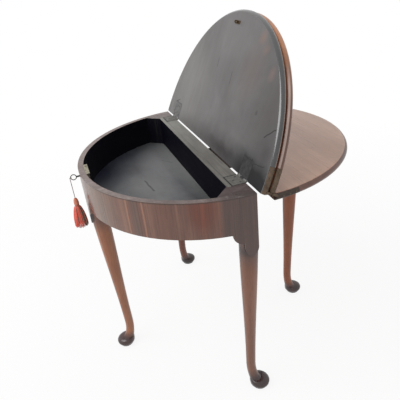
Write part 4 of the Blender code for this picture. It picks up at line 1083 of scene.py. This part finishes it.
def frieze_rule(centres: np.ndarray, normals: np.ndarray) -> np.ndarray:
    """Sorts the frieze's faces.

    Args:
        centres: The faces' centres.
        normals: Their unit normals.

    Returns:
        0 for veneer outside, 1 for the worn rim on top, 2 for the black inside.
    """
    out = centres[:, :2] - np.array([0.0, FRAME_CENTRE_Y])
    out /= np.linalg.norm(out, axis=1, keepdims=True)
    facing = (out * normals[:, :2]).sum(axis=1)
    return np.where(normals[:, 2] > LOOKS_UP, 1, np.where(facing < LOOKS_BACK, 2, 0))


def top_rule(centres: np.ndarray, normals: np.ndarray) -> np.ndarray:
    """0 elsewhere, 1 on level top faces at the frame's height."""
    return np.where((normals[:, 2] > LOOKS_UP) & (centres[:, 2] > FRAME_TOP - TOP_BAND), 1, 0)


def lid_rule(_centres: np.ndarray, normals: np.ndarray) -> np.ndarray:
    """0 black underside, 1 dark edge, 2 polished face that meets the middle leaf."""
    under = normals @ LID_UNDER
    return np.where(under > LIES_FLAT, 0, np.where(under < LOOKS_BACK, 2, 1))


def leaf_rule(_centres: np.ndarray, normals: np.ndarray) -> np.ndarray:
    """0 on the middle leaf's two flat faces, 1 round its edge."""
    return np.where(np.abs(normals @ LID_UNDER) > LIES_FLAT, 0, 1)


def rear_rule(_centres: np.ndarray, normals: np.ndarray) -> np.ndarray:
    """0 on the rear leaf's two level faces, 1 round its edge."""
    return np.where(np.abs(normals[:, 2]) > LIES_FLAT, 0, 1)


@dataclass
class FrameAndWell:
    """Bowed frieze, back rail, well boards and corner blocks."""

    def build(self) -> None:
        """Dresses the fixed carcase."""
        CadCopy("frieze", "frame", "frieze_veneer", (FRIEZE, RIM, WELL), frieze_rule).build()
        CadCopy("back_rail", "frame", "rail_oak", (RAIL,)).build()
        CadCopy("well_liner", "frame", "rail_oak", (LINER, RAIL), top_rule).build()
        CadCopy("well_floor", "frame", "well_black", (FLOOR_BOARD,)).build()
        for side, stile in (("right", RIGHT_STILE), ("left", STILE)):
            CadCopy(side + "_corner_block", "frame", "leg_mahogany", (BLOCK, stile), top_rule).build()


@dataclass
class LegsAndGate:
    """Turned legs with pad feet, and the gate that carries one of them."""

    def build(self) -> None:
        """Dresses the legs, the knuckle rail and the fly rail."""
        CadCopy("front_leg", "frame", "leg_mahogany", (FRONT_LEG,)).build()
        for side, finishes in (("right", (LEG, RIGHT_STILE)), ("left", (LEFT_LEG, STILE))):
            CadCopy(side + "_leg", "frame", "leg_mahogany", finishes, top_rule).build()
        CadCopy("gate_leg", "gate", "gate_mahogany", (GATE,)).build()
        CadCopy("fly_rail", "gate", "gate_mahogany", (FLY_RAIL,)).build()
        CadCopy("knuckle_rail", "frame", "rail_oak", (RAIL,)).build()
        CadCopy("knuckle_pin", "frame", "iron", (IRON,)).build()


@dataclass
class Screws:
    """Slotted screw heads, sunk flush, as one piece for each body."""

    radius: float = 0.0030
    slot_half: float = 0.0004
    slot_depth: float = 0.0006
    dome: float = 0.0004
    proud: float = 0.0001
    sunk: float = 0.0002
    rings: int = 9
    around: int = 28
    sharp: float = math.radians(40)

    def build(self, name: str, body: str, places: np.ndarray, faces: np.ndarray, slots: np.ndarray,
              finish: Finish, record_slot: str) -> Piece:
        """Makes the heads.

        Each head is a polar grid: r runs to the rim, height = proud + dome * (1 - (r/R)^2), lowered by the
        slot's depth where the distance from the slot's line is under its half width. The outermost ring
        turns down so that the rim closes against the plate.

        Args:
            name: The piece's name.
            body: The body that carries these screws.
            places: Middles of the heads on their plates, shape (n, 3).
            faces: Directions that the heads look along, shape (n, 3).
            slots: Directions of the slots, shape (n, 3).
            finish: The metal.
            record_slot: The record's material slot.

        Returns:
            The piece.
        """
        share = np.linspace(0.0, 1.0, self.rings)[:, None]
        turn = circle(self.around)[None, :]
        a = self.radius * share * np.cos(turn)
        b = self.radius * share * np.sin(turn)
        height = self.dome * (1 - share ** 2) + self.proud - self.slot_depth * (np.abs(b) < self.slot_half)
        height = np.where(share >= 1.0, -self.sunk, height)
        axes = ((a, slots), (b, np.cross(faces, slots)), (height, faces))
        points = places[:, None, None, :] + sum(
            reach[None, ..., None] * axis[:, None, None, :] for reach, axis in axes)
        piece = mesh_object(name, points, grid_faces(self.rings, self.around, len(places)))
        piece.data.set_sharp_from_angle(angle=self.sharp)
        return SHOP.carry(piece, body, record_slot, finish)


@dataclass
class Leaves:
    """Lid, middle and rear leaf with their brass edge hinges."""

    screw_runs: tuple[float, ...] = (0.022, 0.040, 0.057)
    rear_edge: float = 0.0254923
    rear_middle: float = 0.656892
    screws: Screws = field(default_factory=lambda: Screws(radius=0.0021))

    def edge_screws(self) -> None:
        """Sets screws along the middle line of every brass arm, facing out of the leaf's curved edge.

        At a run from its straight edge, a shut leaf's rim lies at x = side * sqrt(R^2 - run^2), and the way
        out of it is (x, -run) / R. The upright leaves are turned by the opening angle about the lid pin; the
        rear leaf lies level and runs the other way.
        """
        run = np.tile(np.array(self.screw_runs), 2)
        side = np.repeat((1.0, -1.0), len(self.screw_runs))
        count, level = len(run), np.zeros(len(run))
        x = side * np.sqrt(LEAF_RADIUS ** 2 - run ** 2)
        out_x = side * np.sqrt(1 - (run / LEAF_RADIUS) ** 2)
        out = opened(np.stack([out_x, -run / LEAF_RADIUS, level], axis=-1))
        up = opened(rows_of(UP, count))
        for body, base in (("lid", LEAF_FOOT), ("middle", LEAF_FOOT + LEAF_THICK + LEAF_GAP)):
            middle = np.full(count, base + LEAF_THICK / 2)
            places = np.array(LID_PIN) + opened(np.stack([x, LEAF_BACK - run, middle], axis=-1))
            self.screws.build(body + "_arm_screws", body, places, out, up, SCREW, "brass")
        places = np.stack([x, self.rear_edge + run, np.full(count, self.rear_middle)], axis=-1)
        out = np.stack([out_x, run / LEAF_RADIUS, level], axis=-1)
        self.screws.build("rear_arm_screws", "rear", places, out, rows_of(UP, count), SCREW, "brass")

    def build(self) -> None:
        """Dresses the leaves, the arms and the links, and sets the screws."""
        CadCopy("lid_leaf", "lid", "lid_black", (LID_FACE, LID_EDGE, UPRIGHT_LEAF), lid_rule).build()
        CadCopy("middle_leaf", "middle", "leaf_mahogany", (UPRIGHT_LEAF, MIDDLE_EDGE), leaf_rule).build()
        CadCopy("rear_leaf", "rear", "leaf_mahogany", (LEAF, REAR_EDGE), rear_rule).build()
        for side in ("right", "left"):
            CadCopy(side + "_rear_arm", "rear", "brass", (DARK_BRASS,)).build()
            for piece, body in (("lid_arm", "lid"), ("middle_arm", "middle"), ("lower_link", "lower_links"),
                                ("upper_link", "upper_links")):
                CadCopy(f"{side}_{piece}", body, "brass", (BRASS,)).build()
        self.edge_screws()


@dataclass
class LidHinges:
    """Two iron butt hinges between the rail and the lid; screws are given from each hinge's middle."""

    rail_screws: tuple[Pair, ...] = ((-0.016, 0.012), (0.0, 0.024), (0.016, 0.012))
    lid_screws: tuple[Pair, ...] = ((-0.016, 0.014), (0.016, 0.014), (-0.008, 0.042), (0.008, 0.042))
    rail_slot: float = 0.6
    lid_slot: float = 0.4
    screws: Screws = field(default_factory=lambda: Screws(radius=0.0032, dome=0.0001))

    @staticmethod
    def on_both(offsets: Sequence[Pair], height: float) -> np.ndarray:
        """Screw places from the lid pin's middle, of shape (n, 3), on the right hinge and then the left."""
        return np.array([(side * HINGE_CENTRE + along, -away, height)
                         for side in (1, -1) for along, away in offsets])

    def build(self) -> None:
        """Dresses the plates and sets their screws."""
        # The right lid plate takes the iron darkened as painted shade, the left one the paler copy as painted
        # light.
        for side, lid_plate in (("right", LID_PLATE), ("left", PALE_LID_PLATE)):
            CadCopy(side + "_butt_rail_plate", "frame", "iron", (PLATE,)).build()
            CadCopy(side + "_butt_lid_plate", "lid", "iron", (lid_plate,)).build()
            CadCopy(side + "_butt_pin", "frame", "iron", (IRON,)).build()
        places = np.array(LID_PIN) + self.on_both(self.rail_screws, -LEAF_FOOT)
        slots = rows_of((math.cos(self.rail_slot), math.sin(self.rail_slot), 0.0), len(places))
        self.screws.build("rail_plate_screws", "frame", places, rows_of(UP, len(places)), slots, IRON, "iron")
        places = np.array(LID_PIN) + opened(self.on_both(self.lid_screws, LEAF_FOOT))
        slots = opened(rows_of((math.cos(self.lid_slot), -math.sin(self.lid_slot), 0.0), len(places)))
        self.screws.build("lid_plate_screws", "lid", places, rows_of(LID_UNDER, len(places)), slots, IRON,
                          "iron")


@dataclass
class LockAndKey:
    """Lock let into the frieze, its bolt, the staple on the lid and the key."""

    selvedge_y: float = -0.3611
    screw_x: tuple[float, ...] = (-0.029, 0.029)
    screw_slot: float = 1.1
    key_sharp: float = math.radians(50)
    screws: Screws = field(default_factory=lambda: Screws(radius=0.0024))

    def build(self) -> None:
        """Dresses the lock and sets the selvedge's screws."""
        CadCopy("lock_plate", "frame", "brass", (LOCK_BRASS,)).build()
        CadCopy("lock_cap", "frame", "brass", (LOCK_BRASS,)).build()
        CadCopy("lock_bolt", "bolt", "steel", (STEEL,)).build()
        CadCopy("lid_staple", "lid", "brass", (STAPLE,)).build()
        CadCopy("key", "key", "steel", (STEEL,), sharp=self.key_sharp).build()
        places = np.array([(x, self.selvedge_y, FRAME_TOP) for x in self.screw_x])
        slots = rows_of((math.cos(self.screw_slot), math.sin(self.screw_slot), 0.0), len(places))
        self.screws.build("selvedge_screws", "frame", places, rows_of(UP, len(places)), slots, LOCK_BRASS,
                          "brass")


@dataclass
class TasselOnCord:
    """Twisted cord from the key's bow, a wound head and a skirt of loose threads."""

    axis_y: float = -0.4107923
    top: float = 0.658
    cord_radius: float = 0.0010
    cord_length: float = 0.1180
    cord_rows: int = 160
    cord_around: int = 14
    cord_pitch: float = 0.006
    cord_lobe: float = 0.14
    colour_lag: float = 1.2
    path_points: int = 20
    bow_front_y: float = -0.4081923
    wire: float = 0.0013
    knot_thick: float = 0.8
    knot_tight: float = 0.9
    knot_slope: float = 0.0006
    knot_rows: int = 32
    knot_around: int = 12
    knot_bands: int = 3
    head_top: float = 0.594
    head_height: float = 0.024
    head_radius: float = 0.0070
    head_top_radius: float = 0.0035
    neck_radius: float = 0.0055
    head_fullness: float = 0.7
    head_turns: int = 11
    head_ridge: float = 0.00028
    head_band: Pair = (0.80, 0.93)
    head_rows: int = 100
    head_around: int = 48
    skirt_top: float = 0.5705
    skirt_height: float = 0.0670
    skirt_radius: float = 0.0185
    skirt_fullness: float = 0.6
    layers: tuple[tuple[int, float], ...] = ((46, 1.0), (38, 0.80), (26, 0.56))
    thread_radius: float = 0.00095
    thread_least: float = 0.75
    thread_more: float = 0.45
    belly_start: float = 0.15
    belly_run: float = 0.8
    thread_rows: int = 12
    thread_around: int = 6
    uneven: float = 0.05
    crowding: float = 0.35
    sway: float = 3.0
    scatter: Triple = (12.9898, 78.233, 43758.5453)
    colour_steps: Pair = (7.0, 0.618)
    dark_side: float = math.radians(65)
    dark_least: float = 0.14
    dark_more: float = 0.66

    @staticmethod
    def give_thread(piece: Piece, values: np.ndarray) -> None:
        """Stores which of the two thread colours, 0 or 1, each point has."""
        stored = piece.data.attributes.new("thread", "FLOAT", "POINT")
        stored.data.foreach_set("value", np.ascontiguousarray(values, np.float32).ravel())

    def turned(self, radius: np.ndarray, angle: np.ndarray, height: np.ndarray) -> np.ndarray:
        """Points round the tassel's upright axis, at distances, angles and heights."""
        x, y = radius * np.cos(angle), self.axis_y + radius * np.sin(angle)
        return np.stack(np.broadcast_arrays(x, y, height), axis=-1)

    def cord(self) -> Piece:
        """The cord: a tube whose section is a two-lobed circle that turns as it goes down.

        It hangs free above the head and runs on inside the head and the skirt, as their core.
        radius(angle, depth) = R * (1 - lobe + lobe * cos(2 * (angle - 2 pi * depth / pitch))).

        Returns:
            The cord's piece.
        """
        depth = np.linspace(0.0, self.cord_length, self.cord_rows)[:, None]
        angle = circle(self.cord_around)[None, :]
        lobes = 2 * (angle - FULL_TURN * depth / self.cord_pitch)
        radius = self.cord_radius * (1 - self.cord_lobe + self.cord_lobe * np.cos(lobes))
        points = self.turned(radius, angle, self.top - depth)
        piece = mesh_object("cord_finish", points, capped_faces(self.cord_rows, self.cord_around))
        self.give_thread(piece, np.cos(lobes + self.colour_lag) > 0.0)
        SHOP.carry(piece, "tassel", "cord_silk", CORD)
        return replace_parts(piece, "tassel_cord")

    def knot(self) -> Piece:
        """The cord's turn round the bow's wire: a ring about the wire, tilted a little so that it looks tied.

        A point is centre + (major + minor cos b) * (cos a, sin a) in the level plane, with height minor sin b
        plus a small slope along the ring.

        Returns:
            The knot's piece.
        """
        a = circle(self.knot_rows)[:, None]
        b = circle(self.knot_around)[None, :]
        minor = self.cord_radius * self.knot_thick
        reach = self.wire + minor * self.knot_tight + minor * np.cos(b)
        points = np.stack([reach * np.cos(a), self.bow_front_y + reach * np.sin(a),
                           self.top + minor * np.sin(b) + self.knot_slope * np.cos(a)], axis=-1)
        band = np.tile(np.cos(self.knot_bands * a) > 0.0, (1, self.knot_around))
        piece = mesh_object("cord_knot", np.concatenate([points, points[:1]]),
                            grid_faces(self.knot_rows + 1, self.knot_around))
        self.give_thread(piece, np.concatenate([band, band[:1]]))
        return SHOP.carry(piece, "key", "cord_silk", CORD)

    def head(self) -> Piece:
        """The wound head: a turned profile with ridges where the thread lies.

        radius(u) = straight run from top to neck + swell * sin(pi u)^fullness, plus ridge * cos of turns that
        climb slowly round the head.

        Returns:
            The head's piece.
        """
        u = np.linspace(0.0, 1.0, self.head_rows)[:, None]
        angle = circle(self.head_around)[None, :]
        straight = self.head_top_radius + (self.neck_radius - self.head_top_radius) * u
        swell = self.head_radius - (self.head_top_radius + self.neck_radius) / 2
        ridges = self.head_ridge * np.cos(FULL_TURN * self.head_turns * u + angle)
        radius = straight + swell * np.abs(np.sin(math.pi * u)) ** self.head_fullness + ridges
        points = self.turned(radius, angle, self.head_top - self.head_height * u)
        piece = mesh_object("tassel_head_finish", points, capped_faces(self.head_rows, self.head_around))
        band = (u > self.head_band[0]) & (u < self.head_band[1])
        self.give_thread(piece, np.broadcast_to(band, radius.shape))
        SHOP.carry(piece, "tassel", "tassel_silk", HEAD)
        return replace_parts(piece, "tassel_head")

    def skirt(self) -> Piece:
        """The skirt: threads that fan out and down in layers.

        Thread i of n lies at angle 2 pi i / n plus a little of sin(sway * u + i); its distance from the axis
        is neck + (R - neck) * sin(pi u / 2)^fullness times the layer's share. Its place, length and colour
        follow from i without chance, by the fraction of a large multiple of a sine, and dark threads are
        most frequent on one side.

        Returns:
            The skirt's piece.
        """
        rows, around = self.thread_rows, self.thread_around
        index = np.concatenate([np.arange(n) for n, _ in self.layers])
        total = np.concatenate([np.full(n, n) for n, _ in self.layers])
        layer = np.concatenate([np.full(n, share) for n, share in self.layers])
        spread = np.abs(np.sin(index * self.scatter[0] + layer * self.scatter[1]) * self.scatter[2]) % 1.0
        u = np.linspace(0.0, 1.0, rows)[None, :]
        angle = (FULL_TURN * (index + self.crowding * spread) / total)[:, None]
        angle = angle + self.uneven * np.sin(self.sway * u + index[:, None])
        fan = np.sin(math.pi / 2 * u) ** self.skirt_fullness
        reach = self.neck_radius + (self.skirt_radius - self.neck_radius) * fan
        far = layer[:, None] * reach * (1 + self.uneven * (spread[:, None] - 0.5) * u)
        drop = self.skirt_height * (1 - self.uneven * spread)[:, None] * u
        centre = self.turned(far, angle, self.skirt_top - drop)
        out = np.stack([np.cos(angle), np.sin(angle), np.zeros_like(angle)], axis=-1)
        side = np.stack([-np.sin(angle), np.cos(angle), np.zeros_like(angle)], axis=-1)
        ring = circle(around)
        belly = np.sin(math.pi * (self.belly_start + self.belly_run * u))
        thick = (self.thread_radius * (self.thread_least + self.thread_more * belly))[..., None]
        points = (centre[:, :, None, :] + (thick * np.cos(ring))[..., None] * out[:, :, None, :]
                  + (thick * np.sin(ring))[..., None] * side[:, :, None, :])
        piece = mesh_object("tassel_skirt_finish", points, capped_faces(rows, around, len(index)))
        dark = self.dark_least + self.dark_more * np.maximum(np.cos(angle[:, 0] - self.dark_side), 0.0) ** 2
        colour = (spread * self.colour_steps[0] + index * self.colour_steps[1]) % 1.0 < dark
        self.give_thread(piece, np.repeat(colour, rows * around))
        SHOP.carry(piece, "tassel", "tassel_silk", TASSEL)
        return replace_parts(piece, "tassel_skirt")

    def build(self) -> None:
        """Makes the cord with the pieces on it."""
        cord, knot, head, skirt = self.cord(), self.knot(), self.head(), self.skirt()


@dataclass(frozen=True)
class Softbox:
    """A broad soft lamp that looks at the table."""

    name: str
    place: Triple
    size: Pair
    power: float
    aim: Triple = (0.0, 0.0, 0.6)

    def build(self) -> Piece:
        """Makes the lamp, which lights and reflects but isn't itself seen.

        Returns:
            The lamp.
        """
        data = bpy.data.lights.new(self.name, "AREA")
        data.shape = "RECTANGLE"
        data.size, data.size_y = self.size
        data.energy = self.power
        lamp = bpy.data.objects.new(self.name, data)
        lamp.location = self.place
        lamp.rotation_euler = (Vector(self.aim) - lamp.location).to_track_quat("-Z", "Y").to_euler()
        lamp.visible_camera = False
        bpy.context.scene.collection.objects.link(lamp)
        return lamp


@dataclass
class Studio:
    """Camera at the photograph's place, a pale floor, soft lamps and a pale surround."""

    place: Triple = (1.16836, -0.39485, 1.15476)
    azimuth: float = math.radians(73.1215)
    elevation: float = math.radians(28.8129)
    roll: float = math.radians(6.4409)
    focal_pixels: float = 435.23
    image_side: float = 400.0
    sensor: float = 36.0
    clip: Pair = (0.05, 60.0)
    floor_half: float = 9.0
    floor_colour: Colour = (0.86, 0.86, 0.86)
    floor_roughness: float = 0.9
    floor_fade: Pair = (0.6, 2.2)
    floor_white: Pair = (0.88, 1.0)
    surround: float = 0.70
    lamps: tuple[Softbox, ...] = (
        Softbox("key", (0.15, -2.43, 3.05), (2.9, 1.7), 51.0, (0.0, 0.0, 0.7)),
        Softbox("front_left", (-0.90, -3.1, 1.7), (4.4, 2.6), 13.5),
    )

    def camera(self) -> Piece:
        """Sets the camera from its viewing direction and roll.

        forward = (-sin az cos el, cos az cos el, -sin el); right = (cos az, sin az, 0);
        down = forward x right; the roll turns right towards down.

        Returns:
            The camera.
        """
        ahead = Vector((-math.sin(self.azimuth) * math.cos(self.elevation),
                        math.cos(self.azimuth) * math.cos(self.elevation), -math.sin(self.elevation)))
        right = Vector((math.cos(self.azimuth), math.sin(self.azimuth), 0.0))
        down = ahead.cross(right)
        x_axis = math.cos(self.roll) * right + math.sin(self.roll) * down
        y_axis = math.sin(self.roll) * right - math.cos(self.roll) * down
        data = bpy.data.cameras.new("camera")
        data.sensor_width = self.sensor
        data.lens = self.focal_pixels * self.sensor / self.image_side
        data.clip_start, data.clip_end = self.clip
        camera = bpy.data.objects.new("camera", data)
        turn = Matrix((x_axis, y_axis, -ahead)).transposed().to_4x4()
        camera.matrix_world = Matrix.Translation(self.place) @ turn
        bpy.context.scene.collection.objects.link(camera)
        bpy.context.scene.camera = camera
        return camera

    def floor(self) -> Piece:
        """A pale floor that reads white from the camera and keeps a soft shadow.

        Where it is seen directly it glows white by a share that rises with the distance from the table; the
        rest is a matt pale surface that takes the shadow.

        Returns:
            The floor.
        """
        side = (-self.floor_half, self.floor_half)
        corners = np.array([(x, y, 0.0) for x in side for y in side])
        floor = mesh_object("floor", corners, np.array([[0, 2, 3, 1]]))
        g = Graph.named("pale_floor")
        g.done(Base_Color=self.floor_colour, Roughness=self.floor_roughness, Specular_IOR_Level=0.0)
        away = g.vector("LENGTH", g.place(), output="Value")
        share = g.math("MULTIPLY", g.seen_directly(), g.fit(away, *self.floor_fade, *self.floor_white))
        matt = g.tree.nodes["Principled BSDF"].outputs[0]
        blend = g.node("MixShader", {0: share, 1: matt, 2: g.node("Emission", {})})
        g.feed(g.tree.nodes["Material Output"], "Surface", blend)
        floor.data.materials.append(g.owner)
        return floor

    def light(self) -> None:
        """Sets a pale surround for all rays, white where it is seen, and the lamps."""
        world = bpy.data.worlds.new("surround")
        bpy.context.scene.world = world
        g = Graph(world)
        background = g.tree.nodes["Background"]
        g.feed(background, "Color", WHITE)
        g.feed(background, "Strength", g.fit(g.seen_directly(), 0.0, 1.0, self.surround, 1.0))
        for softbox in self.lamps:
            softbox.build()

    def build(self) -> None:
        """Sets up the camera, floor and light."""
        bpy.context.scene.view_settings.view_transform = "Standard"
        self.camera()
        self.floor()
        self.light()


def main() -> None:
    """Builds the studio and every sub-assembly in order."""
    logging.basicConfig(level=logging.INFO, format="%(name)s: %(message)s")
    for part in (Studio, TasselOnCord, FrameAndWell, LegsAndGate, Leaves, LidHinges, LockAndKey):
        part().build()
        log.info("%s is done", part.__name__)


if __name__ == "__main__":
    main()
